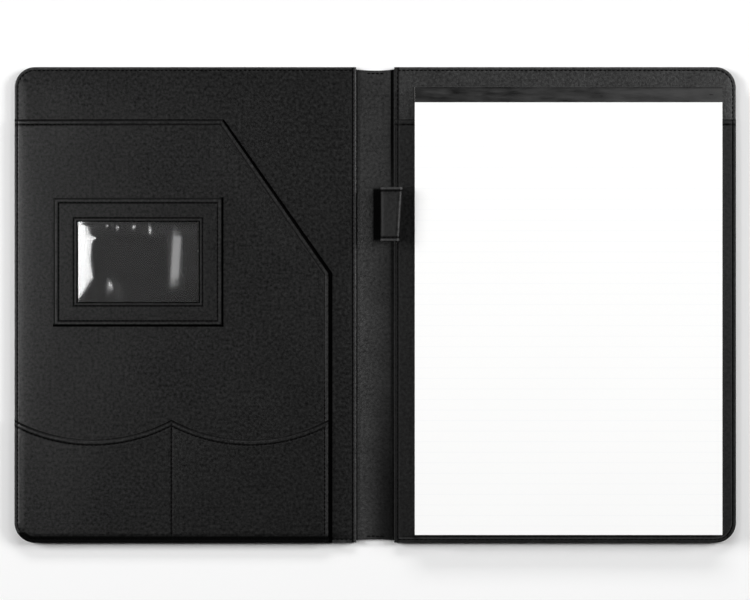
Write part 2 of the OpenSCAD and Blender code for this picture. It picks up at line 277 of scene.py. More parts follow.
def calculate(tree, operation, first, second):
    """A sum, product or other operation on two numbers."""
    made = node(tree, "Math", {"operation": operation})
    join(tree, first, made.inputs[0])
    join(tree, second, made.inputs[1])
    return made.outputs[0]


def mix_colours(tree, share, first, second):
    """The first colour at a share of 0, the second at 1."""
    made = node(tree, "Mix", {"data_type": "RGBA"})
    for place, value in ((0, share), (6, first), (7, second)):  # the colour sockets of this node
        join(tree, value, made.inputs[place])
    return made.outputs[2]


def remap(tree, value, low, high, new_low, new_high):
    """A value between low and high moved to between new_low and new_high."""
    sockets = {"Value": value, "From_Min": low, "From_Max": high, "To_Min": new_low, "To_Max": new_high}
    return node(tree, "MapRange", **sockets).outputs["Result"]


def grey(level):
    """A grey of that level, as a colour."""
    return (level, level, level, 1.0)


print("a mid grey:", grey(0.5))

# %% Write what the materials share


def new_material(name, **values):
    """A material with one shader, its plain values set, and its tree and shader for the rest."""
    material = bpy.data.materials.new(name)
    material.use_nodes = True
    shader = material.node_tree.nodes["Principled BSDF"]
    feed(material.node_tree, shader, **values)
    return material, material.node_tree, shader


def cut_place(tree):
    """Place on the flat sheet, in millimetres."""
    return node(tree, "UVMap", {"uv_map": "cut"}).outputs["UV"]


def solid_place(tree):
    """Place in a CAD solid, in millimetres."""
    place = node(tree, "TexCoord").outputs["Object"]
    return node(tree, "Mapping", Vector=place, Scale=(1 / MM,) * 3).outputs["Vector"]


def mark_on(tree, name):
    """A mark that the mesh carries, such as rub or sewn."""
    return node(tree, "Attribute", {"attribute_name": name}).outputs["Fac"]


def noise(tree, place, size, detail=3.0, roughness=0.55):
    """Cloudy noise from 0 to 1 with lumps about one size across."""
    made = node(tree, "TexNoise", Vector=place, Scale=1 / size, Detail=detail, Roughness=roughness)
    return made.outputs["Fac"]


def add_bump(tree, shader, height, depth):
    """Tilts the shading as if the surface had that height, depth millimetres at the most."""
    bump = node(tree, "Bump", Height=height, Distance=depth * MM)
    feed(tree, shader, Normal=bump.outputs["Normal"])


print("materials made so far:", len(bpy.data.materials))

# %% [markdown]
# ## Black coated leather
# Covers, lining and pockets are black coated fabric with a fine pebbled grain. The grain is round cells
# with thin creases between them, which a cell texture gives, over softer folds. It could be modelled, but
# at less than a millimetre a bump is the right tool. The folds also vary the shine, so the grain shows
# where the light is even. Rubbed ridges turn grey, and the coating is duller and darker where stitches
# press it down. Both follow marks on the mesh. The grey along the pen loop's right bend is a painted
# highlight. The dark mark also carries painted shade: black painted shadows along the pockets' mouths,
# round the pad and beside the pen loop, and painted shade in the spine's folds and along several rims and
# margins.

# %% Make the leathers
WORN_AND_SHEEN = 0.045  # grey of rubbed ridges, and of the painted highlight along the pen loop's bend
WORN_AND_SHEEN_SMOOTH = 0.06  # how much smoother they are
CLOUD, CLOUD_SHARE = 26.0, 0.4  # size of the cloudy patches, and their share in the colour
GRAIN_ENDS = 0.34, 0.66  # noise from which the colour goes from deep to pale
ROUGH_ENDS, ROUGH_RANGE = (0.3, 0.7), 0.07  # the same for the roughness, and how far it varies each way
GLOSS_ENDS, GLOSS_RANGE = (0.32, 0.68), 0.31  # the same for the shine
FOLD_SIZE, PORE_SIZE = 2.2, 0.4  # of the folds and the pores, when a cell is 1 across
FOLD_HEIGHT, PORE_HEIGHT = 1.4, 0.3  # and when it is 1 high
SEWN_AND_PAINTED_SHADE, SEWN_DULL, SEWN_AND_SHADE_GLOSS = 0.15, 0.3, 0.04  # pressed leather and painted shade: colour share, added roughness, shine


def leather(name, deep, pale, cell, rough, shine=0.5, depth=0.06):
    """Coated leather with cells a given size across and depth high. Its colour lies between deep and pale,
    rough is its roughness and shine its mirror level."""
    material, tree, shader = new_material(name)
    place = cut_place(tree)
    round_cells = {"feature": "SMOOTH_F1"}
    cells = node(tree, "TexVoronoi", round_cells, Vector=place, Scale=1 / cell, Smoothness=0.5)
    folds = noise(tree, place, FOLD_SIZE * cell, 4.0, 0.65)
    pores = noise(tree, place, PORE_SIZE * cell, 2.0)
    clouds = calculate(tree, "MULTIPLY", noise(tree, place, CLOUD, 5.0), CLOUD_SHARE)
    rub, sewn = mark_on(tree, "rub"), mark_on(tree, "sewn")
    grain = calculate(tree, "ADD", clouds, calculate(tree, "MULTIPLY", folds, 1 - CLOUD_SHARE))
    colour = mix_colours(tree, remap(tree, grain, *GRAIN_ENDS, 0, 1), grey(deep), grey(pale))
    # grey of worn ridges and of the painted highlight on the loop's bend, then black of pressed seams and
    # painted shade
    colour = mix_colours(tree, calculate(tree, "MULTIPLY", rub, folds), colour, grey(WORN_AND_SHEEN))
    colour = mix_colours(tree, sewn, colour, grey(SEWN_AND_PAINTED_SHADE * deep))
    roughness = remap(tree, folds, *ROUGH_ENDS, rough - ROUGH_RANGE, rough + ROUGH_RANGE)
    roughness = calculate(tree, "ADD", roughness, calculate(tree, "MULTIPLY", sewn, SEWN_DULL))
    roughness = calculate(tree, "SUBTRACT", roughness, calculate(tree, "MULTIPLY", rub, WORN_AND_SHEEN_SMOOTH))
    gloss = remap(tree, folds, *GLOSS_ENDS, (1 - GLOSS_RANGE) * shine, (1 + GLOSS_RANGE) * shine)
    gloss = calculate(tree, "MULTIPLY", gloss, remap(tree, sewn, 0, 1, 1.0, SEWN_AND_SHADE_GLOSS))
    feed(tree, shader, Base_Color=colour, Roughness=roughness, Specular_IOR_Level=gloss)
    height = calculate(tree, "MULTIPLY", folds, FOLD_HEIGHT)
    height = calculate(tree, "ADD", cells.outputs["Distance"], height)
    height = calculate(tree, "ADD", height, calculate(tree, "MULTIPLY", pores, PORE_HEIGHT))
    add_bump(tree, shader, height, depth)
    return material


# One black leather in several tones: the paler back lining and spine are painted light, and the pad pocket,
# darker than the back lining beside it, is painted shade.
skin_leather = leather("skin_leather", 0.0012, 0.0055, 1.1, 0.38)
lining_leather = leather("lining_leather", 0.0008, 0.0055, 0.95, 0.37, depth=0.042)
back_leather_painted_tone = leather("back_leather_painted_tone", 0.008, 0.031, 0.95, 0.36, depth=0.13)
pocket_leather_painted_tone = leather("pocket_leather_painted_tone", 0.0055, 0.0095, 0.95, 0.37)
spine_leather_painted_tone = leather("spine_leather_painted_tone", 0.009, 0.038, 0.95, 0.38, depth=0.13)
loop_leather = leather("loop_leather", 0.003, 0.007, 1.0, 0.55, 0.2)
print("leathers: skin, lining, back lining, pad pocket, spine, loop")

# %% [markdown]
# ## Thread
# The thread is black and dull, darker than the leather, and twisted from two plies. A wave that runs
# aslant over each stitch draws the twist.

# %% Make the thread
THREAD_SHADES = grey(0.0006), grey(0.0022)
PLY_SCALE, PLY_DEPTH = 0.55, 0.08  # how close the plies lie, and how deep the twist is


def thread_finish():
    """Black thread with slanting plies."""
    material, tree, shader = new_material("black_thread", Roughness=0.75, Specular_IOR_Level=0.04)
    slanting = {"wave_type": "BANDS", "bands_direction": "DIAGONAL"}
    plies = node(tree, "TexWave", slanting, Vector=cut_place(tree), Scale=PLY_SCALE).outputs["Fac"]
    feed(tree, shader, Base_Color=mix_colours(tree, plies, *THREAD_SHADES))
    add_bump(tree, shader, plies, PLY_DEPTH)
    return material


black_thread = thread_finish()
print("thread:", black_thread.name)

# %% [markdown]
# ## Where the covers' edges run
# A cover is a rectangle with two round corners away from the spine. It is drawn first as a plain
# rectangle, where the distance to the edge is simply the least of four distances. Then the square at
# each outer corner is pushed into a quarter disc: the larger of its two offsets becomes the radius and
# their ratio the angle. That keeps each point's distance from the edge, so seams follow the corner.

# %% Draw a cover's grid


def round_corner(s, y, end):
    """Moves the points of an outer corner's square to a quarter disc, as the text above says."""
    way = math.copysign(1, end)
    centre_s, centre_y = COVER_W - CORNER_R, end - way * CORNER_R
    a, b = s - centre_s, (y - centre_y) * way
    inside = (a > 0) & (b > 0)
    large, small = np.maximum(a, b), np.minimum(a, b)
    lean = np.divide(small, large, out=np.zeros_like(a), where=inside) * math.pi / 4
    angle = np.where(b <= a, lean, math.pi / 2 - lean)
    s_round = np.where(inside, centre_s + large * np.cos(angle), s)
    y_round = np.where(inside, centre_y + way * large * np.sin(angle), y)
    return s_round, y_round


def place_on_cover(side, s, y):
    """Place in the frame of a point s from the spine edge of the back (1) or front (-1) cover."""
    for end in (FOOT, HEAD):
        s, y = round_corner(s, y, end)
    return side * (SPINE_EDGE + s), y


def cover_edge(s, t):
    """Distance of a flat place from the edge of its cover."""
    return np.minimum.reduce([s, COVER_W - s, HEAD - t, t - FOOT])


def cover_grid(side, inset=0.0):
    """Grid over a cover: its flat place s, t, the distance from the cover's edge, and its place x, y in the
    frame."""
    s_lines = np.clip(grid_lines(0, COVER_W), inset, COVER_W - inset)
    y_lines = np.clip(grid_lines(FOOT, HEAD), FOOT + inset, HEAD - inset)
    s, t = np.meshgrid(np.unique(s_lines)[::side], np.unique(y_lines))
    x, y = place_on_cover(side, s, t)
    return s, t, cover_edge(s, t), x, y


print("grid of a cover:", cover_grid(1)[0].shape)

# %% [markdown]
# ## Sewn sheets
# The lining and the pockets are sewn down along the rim, step up over the board or the papers, and have
# a folded hem along each free edge. A few profiles across the edge describe all of them: the dip at the
# stitches, the rise behind them, and what a hem adds.

# %% Define the dips and the rises
GROOVE, GROOVE_HALF = 0.18, 0.5  # how deep stitches pull the rim down, and the half width of the dip
HEM_RISE, HEM_GROOVE = 0.2, 0.35  # how much a folded hem stands up, and its dip
EDGE_R = 0.6  # radius of a sewn sheet's edge
CLEAR = 0.03  # between two sheets that lie on each other
NEAR_RISE, FAR_RISE, FOOT_RISE = 9.5, 18.0, 6.5  # distances from an edge at which a padded rise ends
CARD_RISE, PAD_RISE = 11.0, 3.6  # and at which the rises of the card pocket and the pad pocket end
STEEP_SHARE, STEEP_REACH, SLOW_REACH = 0.43, 1.0, 8.0  # the two parts of a rise that dies away


def pillow(distance, reach, power=2):
    """Share of a padded rise: 1 - (1 - t)^power of the way t from the seam to reach, where it is level."""
    t = np.clip((distance - STITCH_IN) / (reach - STITCH_IN), 0, 1)
    return 1 - (1 - t) ** power


def swell(distance):
    """Share of a rise that dies away from the seam: a steep and a slow part, each 1 - e^(-d / its reach)."""
    d = np.maximum(distance - STITCH_IN, 0)
    return 1 - STEEP_SHARE * np.exp(-d / STEEP_REACH) - (1 - STEEP_SHARE) * np.exp(-d / SLOW_REACH)


def soft_least(first, second):
    """The smaller of two shares with its corner rounded: 1 less the length of what the two lack."""
    return np.maximum(1 - np.hypot(1 - first, 1 - second), 0)


def rim_groove(edge):
    """Dip of the rim at its stitches."""
    return GROOVE * bell(edge, STITCH_IN, GROOVE_HALF)


def hem_height(free):
    """What a hem adds at a distance from a free edge: a ridge up to the stitches and a dip at them."""
    ridge = HEM_RISE * (1 - ramp(free, HEM_STITCH_IN - 0.4, HEM_STITCH_IN + 1.0))
    return ridge - HEM_GROOVE * bell(free, HEM_STITCH_IN, GROOVE_HALF)


def between(middle, top, bottom, share):
    """Top and bottom drawn together towards the middle height near an edge."""
    return middle + (top - middle) * share, middle + (bottom - middle) * share


print(f"a hem's stitches lie {-hem_height(HEM_STITCH_IN):.2f} mm deep")

# %% [markdown]
# ## Wear
# A shut folder is rubbed where it stands out and pressed where it is sewn. Each mark is a bell or a step
# across the edge, and the leather's material turns it into grey or dull black. Outside a cut edge the dull
# black goes on as a painted shadow.

# %% Define the marks of wear
RIM_MARK, RIM_MARK_HALF = 0.4, 0.55  # how dark the pressed strip of the rim is, and its half width
RIM_WEAR, RIM_TURN, RIM_TURN_HALF = 1.1, 0.9, 0.5  # wear of the rim's turn, its place and half width
HEM_RIDGE, HEM_RIDGE_HALF = 1.0, 0.45  # place of a hem's ridge, and its half width
RAW_EDGE = 0.15, 0.5  # a cut edge, and the painted shadow outside it, are dull up to the first distance, and no more from the second


def rim_rub(edge):
    """Wear of the rim's outer turn."""
    return RIM_WEAR * bell(edge, RIM_TURN, RIM_TURN_HALF)


def hem_rub(free):
    """Wear along a hem's ridge."""
    return bell(free, HEM_RIDGE, HEM_RIDGE_HALF)


def seam_mark(distance, seam, depth=0.75, width=0.8):
    """The pressed strip along a seam."""
    return depth * bell(distance, seam, width)


def rim_mark(edge):
    """The fainter pressed strip along the stitches of the rim."""
    return seam_mark(edge, STITCH_IN, RIM_MARK, RIM_MARK_HALF)


def raw_edge_and_shadow(free):
    """The dull cut edge of a hem, and outside the edge a painted shadow."""
    return 1 - ramp(free, *RAW_EDGE)


print("mark at the rim's stitches:", rim_mark(STITCH_IN))

# %% [markdown]
# ## Covers
# Each cover is skin, foam, board and lining, sewn together round the rim. The skin lies face down on the
# table, with its own row of stitches. By the spine its edge is pared thin, because the spine strip laps
# over it there. The foam would show only where the cover is cut open, but it is made as the padded sheet
# that it is. The boards are flat and stay as the CAD made them.

# %% Shape the outer skins
LAP_W, LAP_T = 4.2, 0.5  # how far the spine strip laps over a cover, and its thickness there
OUTSIDE_GROOVE = 0.32  # how deep the stitches pull the skin in
COVERS = (("back", 1), ("front", -1))


def cover_skin(cover_name, side):
    """Outer skin: a turned rim with a groove for the stitches outside, pared thin under the spine's lap."""
    s, _, edge, x, y = cover_grid(side)
    outside = OUTSIDE_GROOVE * bell(edge, STITCH_IN, GROOVE_HALF) * ramp(s, LAP_W, LAP_W + 1)
    outside += LAP_T * (1 - ramp(s, LAP_W + 0.1, LAP_W + 0.5))
    inside = lining_low[2] - (lining_low[2] - SKIN_T) * ramp(edge, RIM_W - 0.5, RIM_W + 0.2)
    inside, outside = between(SKIN_T, inside, outside, rounded(edge, SKIN_T))
    name = cover_name + "_outer_skin"
    piece = sheet_piece(name, x, y, inside, outside, skin_leather, rim_rub(edge), rim_mark(edge))
    put_on(piece, cover_name + "_cover", cover_name + "_skin")


print(f"the spine strip laps {LAP_W} mm over each cover")

# %% Make the skins and the foam
FOAM_IN = RIM_W + 0.3  # from a cover's edge to its foam
FOAM_HALF, FOAM_ROUND = 0.46, 0.8  # half its thickness, and the radius of its edges
FOAM_WAVE, FOAM_WAVE_L = 0.03, 30.0  # its unevenness, and the length of that
FOAM_SHADES = grey(0.03), grey(0.12)
FOAM_SCALE, FOAM_DEPTH = 2.2, 0.25  # cells in a millimetre, and their depth


def foam_finish():
    """Grey foam with open cells."""
    material, tree, shader = new_material("grey_foam", Roughness=0.95, Specular_IOR_Level=0.2)
    cells = node(tree, "TexVoronoi", Vector=cut_place(tree), Scale=FOAM_SCALE).outputs["Distance"]
    feed(tree, shader, Base_Color=mix_colours(tree, cells, *FOAM_SHADES))
    add_bump(tree, shader, cells, FOAM_DEPTH)
    return material


def cover_foam(cover_name, side, foam):
    """Padding: a sheet with soft edges in the room that the CAD foam has."""
    low, high = corners(cover_name + "_foam")
    _, _, edge, x, y = cover_grid(side, FOAM_IN)
    middle = (low[2] + high[2]) / 2
    crown = FOAM_HALF - FOAM_WAVE * waves(x, y, FOAM_WAVE_L)
    top, bottom = between(middle, middle + crown, middle - crown, rounded(edge - FOAM_IN, FOAM_ROUND))
    piece = sheet_piece(cover_name + "_padding", x, y, top, bottom, foam)
    put_on(piece, cover_name + "_cover", cover_name + "_foam")


grey_foam = foam_finish()
for cover_name, cover_side in COVERS:
    cover_skin(cover_name, cover_side)
    cover_foam(cover_name, cover_side, grey_foam)

# %% [markdown]
# ## Inside linings
# The lining is stretched over the board. Its rim lies double on the skin, the stitches pull it down, and
# just inside them it swells over the edge of the board. A sheet could be pressed over a block by a cloth
# simulation, but a formula keeps the seam exactly where the stitches will go.

# %% Make the linings
rim_top = document_low[2] + 0.5  # the rim is padded, so its middle stands above the bare layers
pocket_rim = rim_top + 0.8  # with a pocket caught in the seam
card_rim = pocket_rim + 0.9  # with two
pad_low, pad_high = corners("pad_sheets")
LINING_WAVE, LINING_WAVE_L = 0.1, 70.0  # unevenness of the stretched lining, and its length
FRONT_WEAR, BACK_WEAR = 2.2, 0.2  # wear of the linings' edges at the spine
SPINE_TURN_HALF = 0.35  # half width of that wear
SPINE_EDGE_SHADE = 0.6  # how dark the painted shade on the back lining's edge at the spine is
PAD_EDGE_SHADOW = 0.6  # how dark the pad's painted shadow round it is
BESIDE_PAD, ABOVE_PAD = ((-0.9, -0.5), (0.0, 0.6)), ((-0.3, 0.0), (0.4, 0.9))  # soft edges of those lines
LINING_FREE = 8, 30  # the lining's waves set in between these distances from its edge


def lining_height(s, t):
    """Upper side of a lining: the rim, its dip, and a padded rise, longer at the spine and the head."""
    near = np.minimum(pillow(COVER_W - s, NEAR_RISE), pillow(t - FOOT, NEAR_RISE))
    far = np.minimum(pillow(s, FAR_RISE), pillow(HEAD - t, FAR_RISE))
    return rim_top + (lining_high[2] - rim_top) * np.minimum(near, far) - rim_groove(cover_edge(s, t))


def pad_edge_shadow(x, y):
    """The painted shadow of the pad: a dark line beside its left edge and above its head."""
    left, head = x - pad_low[0], y - pad_high[1]
    beside = soft_strip(left, *BESIDE_PAD) * (1 - ramp(head, 0.2, 0.8))
    above = soft_strip(head, *ABOVE_PAD) * ramp(left, -0.5, 0.0) * ramp(pad_high[0] - x, 0, 2)
    return PAD_EDGE_SHADOW * np.maximum(beside, above)


def cover_lining(cover_name, side, leather_kind):
    """Inside lining: the rim profile on the upper side, and an S over the board's edge below."""
    s, t, edge, x, y = cover_grid(side)
    top = lining_height(s, t) + LINING_WAVE * waves(x, y, LINING_WAVE_L) * ramp(edge, *LINING_FREE)
    step = ramp(edge, RIM_W - 0.9, RIM_W + 0.1)
    bottom = lining_low[2] + (lining_high[2] - LINING_T - lining_low[2]) * step
    middle = (lining_low[2] + rim_top) / 2
    top, bottom = between(middle, top, bottom, rounded(edge, EDGE_R))
    spine_wear = (FRONT_WEAR if side < 0 else BACK_WEAR) * bell(s, RIM_TURN, SPINE_TURN_HALF)
    rub = np.maximum(rim_rub(edge) * ramp(s, 1.5, 3), spine_wear)
    # painted shade along the back lining's edge at the spine, and the pad's painted shadow
    spine_edge_shade = SPINE_EDGE_SHADE * (1 - ramp(s, 1.6, 2.4)) * (side > 0)
    spine_seam = seam_mark(s, STITCH_IN + 0.3, 1.0)
    sewn = np.maximum.reduce([rim_mark(edge), spine_seam, spine_edge_shade, pad_edge_shadow(x, y)])
    piece = sheet_piece(cover_name + "_inside_lining", x, y, top, bottom, leather_kind, rub, sewn)
    put_on(piece, cover_name + "_cover", cover_name + "_lining")


for (cover_name, cover_side), cover_leather in zip(COVERS, (back_leather_painted_tone, lining_leather)):
    cover_lining(cover_name, cover_side, cover_leather)

# %% [markdown]
# ## Spine
# The spine is a strip of skin outside and a strip of lining inside, with a stiffener between them. Both
# bend at the two fold lines as the folder closes. Each strip is made in two halves that meet in the
# middle. Fine creases run across the lining, because it is bent every day, and its ends draw in a little.
# Its folds, its head and foot and its side by the pad are darkened with painted shade, and beside the pen
# loop lies the loop's painted shadow.

# %% Define the strips' marks
loop_low, loop_high = corners("pen_loop")
LOOP_SHADOW = -1.9, 7.0  # the loop's painted shadow lies on the lining between these
BACK_FOLD_SHADE, FRONT_FOLD_SHADE = (2.2, 3.0), (0.4, 1.2)  # painted shade darkens a fold from a cover to the soft edge between these
BACK_EASE = 0.4, 1.0  # nearer than this the back fold's painted shade is half as dark
HEAD_SHADE, FOOT_SHADE = 0.37, 0.17  # how dark the painted shade is at the spine's head and foot
PAD_SIDE_SHADE, PAD_FOOT_SHADE = 0.5, 0.15  # how dark the painted shade is beside the pad, and what its foot adds there


def spine_gradient_shade(x, y):
    """Painted shade on the spine: darker to the head, to the foot, and on the side of the pad."""
    to_head, to_foot = ramp(y, 20, 110), ramp(y, -40, -120)
    by_pad = PAD_SIDE_SHADE * (1 - ramp(y, 10, 110)) + PAD_FOOT_SHADE * to_foot
    return HEAD_SHADE * to_head + FOOT_SHADE * to_foot + ramp(x, -12, 8) * by_pad


def spine_painted_shade(x, y):
    """Painted shade on the inner strip: in the folds, to the head, the foot and the pad, and the loop's
    painted shadow beside it.
    """
    inward = SPINE_EDGE - np.abs(x)
    back_fold_shade = (1 - ramp(inward, *BACK_FOLD_SHADE)) * (0.5 + 0.5 * ramp(inward, *BACK_EASE))
    back_fold_shade = back_fold_shade * (0.75 + 0.25 * ramp(y, 60, 120))
    front_fold_shade = (1 - ramp(inward, *FRONT_FOLD_SHADE)) * (0.35 + 0.5 * ramp(y, 20, 120))
    foot, head, (left, right) = loop_low[1], loop_high[1], LOOP_SHADOW
    loop_shadow_rows = soft_strip(y, (foot - 2, foot + 1), (head - 1, head + 2))
    pressed = soft_strip(x, (left - 1, left + 0.8), (right, right + 3))
    return np.maximum.reduce([np.where(x > 0, back_fold_shade, front_fold_shade), spine_gradient_shade(x, y), loop_shadow_rows * pressed])


def lap_marks(x, y):
    """Dull place of the outer strip: its seam to the covers."""
    return rim_mark(np.abs(x) - SPINE_EDGE)


print("the spine is dullest by the loop:", spine_painted_shade(np.array(3.0), loop_low[1] + 5).round(2))

# %% Define the strips' heights
fold_middle = corners("spine_stiffener")[1][2]
CREASE, CREASE_RATE = 0.07, 0.83  # height of the creases across the spine, and radians in a millimetre
SWAY, SWAY_RATE, FADE_RATE = 1.3, 0.11, 0.053  # how their places sway, how fast, and how fast they fade
SPINE_CROWN = 0.1  # how far the lining's crown stands above the CAD strip
STIFFENER_STEP = 9.4, 9.9  # across: where the lining's lower side steps down from the stiffener
LAP_PARE = 0.06  # what paring takes off the lap besides


def creases(y):
    """Fine uneven creases across the spine: a sine along it whose phase sways, times a slow sine."""
    fade = 0.45 + 0.55 * np.sin(FADE_RATE * y + 0.6)
    return np.sin(CREASE_RATE * y + SWAY * np.sin(SWAY_RATE * y)) * fade


def spine_skin_height(across, y, edge):
    """Outer strip: full thickness over the spine, pared to the lap where it lies on a cover."""
    top = SKIN_T - (SKIN_T - LAP_T + LAP_PARE) * ramp(across, SPINE_EDGE - 0.6, SPINE_EDGE + 0.2)
    return between(LAP_T / 2, top, 0 * top, rounded(edge, 0.35))


def spine_lining_height(across, y, edge):
    """Inner strip: a low soft crown over the stiffener, creased across, that falls to each fold line."""
    valley = SKIN_T + LINING_T
    crown = 1 - np.clip(across / (SPINE_EDGE - 0.4), 0, 1) ** 4
    top = valley + (spine_high[2] + SPINE_CROWN - valley) * crown + CREASE * creases(y) * crown
    bottom = SKIN_T + CLEAR + (fold_middle - SKIN_T) * (1 - ramp(across, *STIFFENER_STEP))
    return between(SKIN_T + 0.3, top, bottom, rounded(edge, 0.7))


print(f"the folds bend at a height of {fold_middle:.2f} mm")

# %% Make the two strips of the spine
LINING_TUCK = 0.3  # the lining's strip ends under a cover's rim
END_DRAW, END_WEAR = 0.8, 0.4  # how far the ends of the strips draw in, and their wear


def half_spine(name, side, reach, height, marks, material, node_name):
    """Half of a strip from the middle of the spine to reach. height gives its top and bottom, and marks its
    darker places: the seams of the outer strip, and the painted shade of the inner one."""
    outer = np.linspace(8.3, reach - 0.6, 18)
    lines = np.concatenate([np.linspace(0, 8, 9), outer, reach - HEM_LINES[6::-1]])
    y_lines = grid_lines(spine_low[1], spine_high[1], step=2.0)
    x, along = np.meshgrid((side * np.unique(lines))[::side], y_lines)
    half = spine_high[1]
    y = along * (1 - END_DRAW * (1 - np.clip(np.abs(x) / SPINE_EDGE, 0, 1) ** 2) / half)
    edge = np.minimum(half - np.abs(along), reach - np.abs(x))
    top, bottom = height(np.abs(x), y, edge)
    rub = END_WEAR * bell(half - np.abs(along), 0.7, 0.5)
    piece = sheet_piece(name, x, y, top, bottom, material, rub, marks(x, y))
    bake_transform(piece)
    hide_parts(node_name)


for side_name, spine_side in COVERS:
    half_spine(
        f"spine_strip_outside_{side_name}", spine_side, SPINE_EDGE + LAP_W, spine_skin_height,
        lap_marks, skin_leather, "spine_skin",
    )
    half_spine(
        f"spine_strip_inside_{side_name}", spine_side, SPINE_EDGE + LINING_TUCK, spine_lining_height,
        spine_painted_shade, spine_leather_painted_tone, "spine_lining",
    )

# %% [markdown]
# ## Pockets that hang from a free top edge
# The document pocket, the card pocket and the pad pocket are all sheets whose top edge is free and whose
# other edges are sewn to the rim. Their rows follow the top edge at growing distances, so hem and seam
# stay parallel to it whatever its shape, and then run evenly down to the foot of the cover. A few rows lie
# outside the edge: a narrow black band on the sheet below, a painted shadow, which draws the black line
# along each mouth.

# %% Make the grid of a hanging pocket
SHADOW_BAND = 2.6  # width of the painted shadow band along a mouth
THIN_SHADOW_BAND = 0.44  # share of it along a level mouth
CUT_SHADOW_BAND = 0.5, 0.9  # shares of it at the head and the foot of a cut corner
SHADOW_BAND_LINES = -SHADOW_BAND * np.array([1.0, 0.65, 0.3, 0.09])


def thin_inset(inset):
    """An inset as it is inside a level mouth, and narrower outside it."""
    return inset * (THIN_SHADOW_BAND if inset < 0 else 1)


def pocket_grid(side, s_lines, top_line, rows):
    """Grid from the foot of a cover up to a free edge; top_line(s, inset) is that edge moved in."""
    s_lines = np.unique(s_lines)[::side]
    insets = np.concatenate([SHADOW_BAND_LINES, HEM_LINES])
    upper = np.stack([top_line(s_lines, inset) for inset in insets[::-1]])
    foot = FOOT + EDGE_LINES[:, None] + np.zeros_like(s_lines)
    t = np.linspace(0, 1, rows + 2)[1:-1, None]
    y = np.concatenate([foot, foot[-1] + t * (upper[0] - foot[-1]), upper])
    return np.broadcast_to(s_lines, y.shape).copy(), y


print(f"facing along a level mouth: {SHADOW_BAND * THIN_SHADOW_BAND:.2f} mm wide")

# %% Shape a hanging pocket
EDGE_DROP = 0.4  # how far the edge of a mouth is rounded down
SHADOW_BAND_TOP, SHADOW_BAND_BOTTOM = 0.16, 0.04  # heights of the painted shadow band's two sides above the ground
FOOT_RIM_SHADE, FOOT_RIM_SHADE_W = 0.93, 4.2  # how dark the painted shade on the rim along the foot is, and its width


def lay_shadow_band(top, bottom, free, ground):
    """The edge of a mouth rounded off, and outside it the painted shadow band on the ground below."""
    top = top - EDGE_DROP * (1 - rounded(np.maximum(free, 0), EDGE_R))
    outside = 1 - ramp(free, -0.1 * SHADOW_BAND, 0.0)
    closed = 1 - ramp(free, 0.2, 0.5)
    top = top + (ground + SHADOW_BAND_TOP - top) * outside
    return top, bottom + (ground + SHADOW_BAND_BOTTOM - bottom) * closed


def pocket_sheet(name, side, s, y, edge, free, levels, rise, ground, extra, marks, leather_kind):
    """Leather pocket: a share rise of the way from rim to panel, the rim's dip and the hem. levels are the
    top and bottom of the rim and then of the panel, ground is the height below it and extra is added to the
    panel. marks are the darkness of the painted shadow band along its mouth, how worn its hem is, and its
    dull places, which are seams and painted shade."""
    low_top, low_bottom, panel_top, panel_bottom = levels
    top = low_top + (panel_top - low_top + extra) * rise - rim_groove(edge) + hem_height(free)
    bottom = low_bottom + (panel_bottom - low_bottom + extra) * rise
    top, bottom = between((top + bottom) / 2, top, bottom, rounded(edge, EDGE_R))
    top, bottom = lay_shadow_band(top, bottom, free, ground)
    shadow_band, wear_and_sheen, dull = marks
    rub = np.maximum(rim_rub(edge), wear_and_sheen * hem_rub(free)) * (1 - dull)
    hem = seam_mark(free, HEM_STITCH_IN)
    # seams, the painted shadow band outside the mouth, and the painted shade passed in as dull places
    sewn = np.maximum.reduce([rim_mark(edge), hem, shadow_band * raw_edge_and_shadow(free), dull])
    x, y = place_on_cover(side, s, y)
    return sheet_piece(name, x, y, top, bottom, leather_kind, rub, sewn)


def foot_rim_shade(y):
    """Painted shade: the rim along the foot darkened nearly to black."""
    return FOOT_RIM_SHADE * (1 - ramp(y - FOOT, FOOT_RIM_SHADE_W, FOOT_RIM_SHADE_W + 1))


print(f"dull rim along the foot: {foot_rim_shade(FOOT):.2f}")

# %% [markdown]
# ## Document pocket
# A large panel with one corner cut off aslant. Its top edge is the lower of two lines, the level edge
# and the aslant one, and moving both lines in gives the mitred hem at the corner between them. It is slack
# in the middle and lies flat under the card window.

# %% Draw the document pocket's edge
CUT_W, CUT_L = 72.5, 104.5  # the corner that is cut off
cut_slant = math.hypot(CUT_W, CUT_L) / CUT_W
document_in = -document_high[0] - SPINE_EDGE  # from the cover's spine edge to the pocket
cut_knee = document_in + CUT_W  # where the level edge turns into the cut


def cut_line(s):
    """Height of the aslant edge."""
    return document_high[1] + (s - cut_knee) * CUT_L / CUT_W


def document_line(s, inset):
    """Top edge of the document pocket moved in: the lower of its level edge and its cut corner."""
    along = np.clip((s - document_in) / CUT_W, 0, 1)
    share = CUT_SHADOW_BAND[1] + (CUT_SHADOW_BAND[0] - CUT_SHADOW_BAND[1]) * along if inset < 0 else 1
    return np.minimum(document_high[1] - thin_inset(inset), cut_line(s) - inset * cut_slant * share)


print(f"the cut leaves the level edge {cut_knee:.1f} mm from the spine")

# %% Make the document pocket
window_low, window_high = corners("window_frame")
window_s, window_y = -SPINE_EDGE - (window_low + window_high)[0] / 2, (window_low + window_high)[1] / 2
window_half = (window_high - window_low)[:2] / 2
SLACK, SLACK_L = 0.18, 95.0  # unevenness of the slack panel, and its length
MOUTH_LIFT = 0.5  # how far its mouth stands open
LEVEL_SHADOW_BAND = 0.82  # darkness of the painted shadow band along its level mouth
LEVEL_WEAR, CUT_WEAR, STRIP_WEAR = 0.15, 0.5, 1.1  # wear of the hems at the mouth, the cut and the side
SAME = 0.01  # distances that differ by less count as one


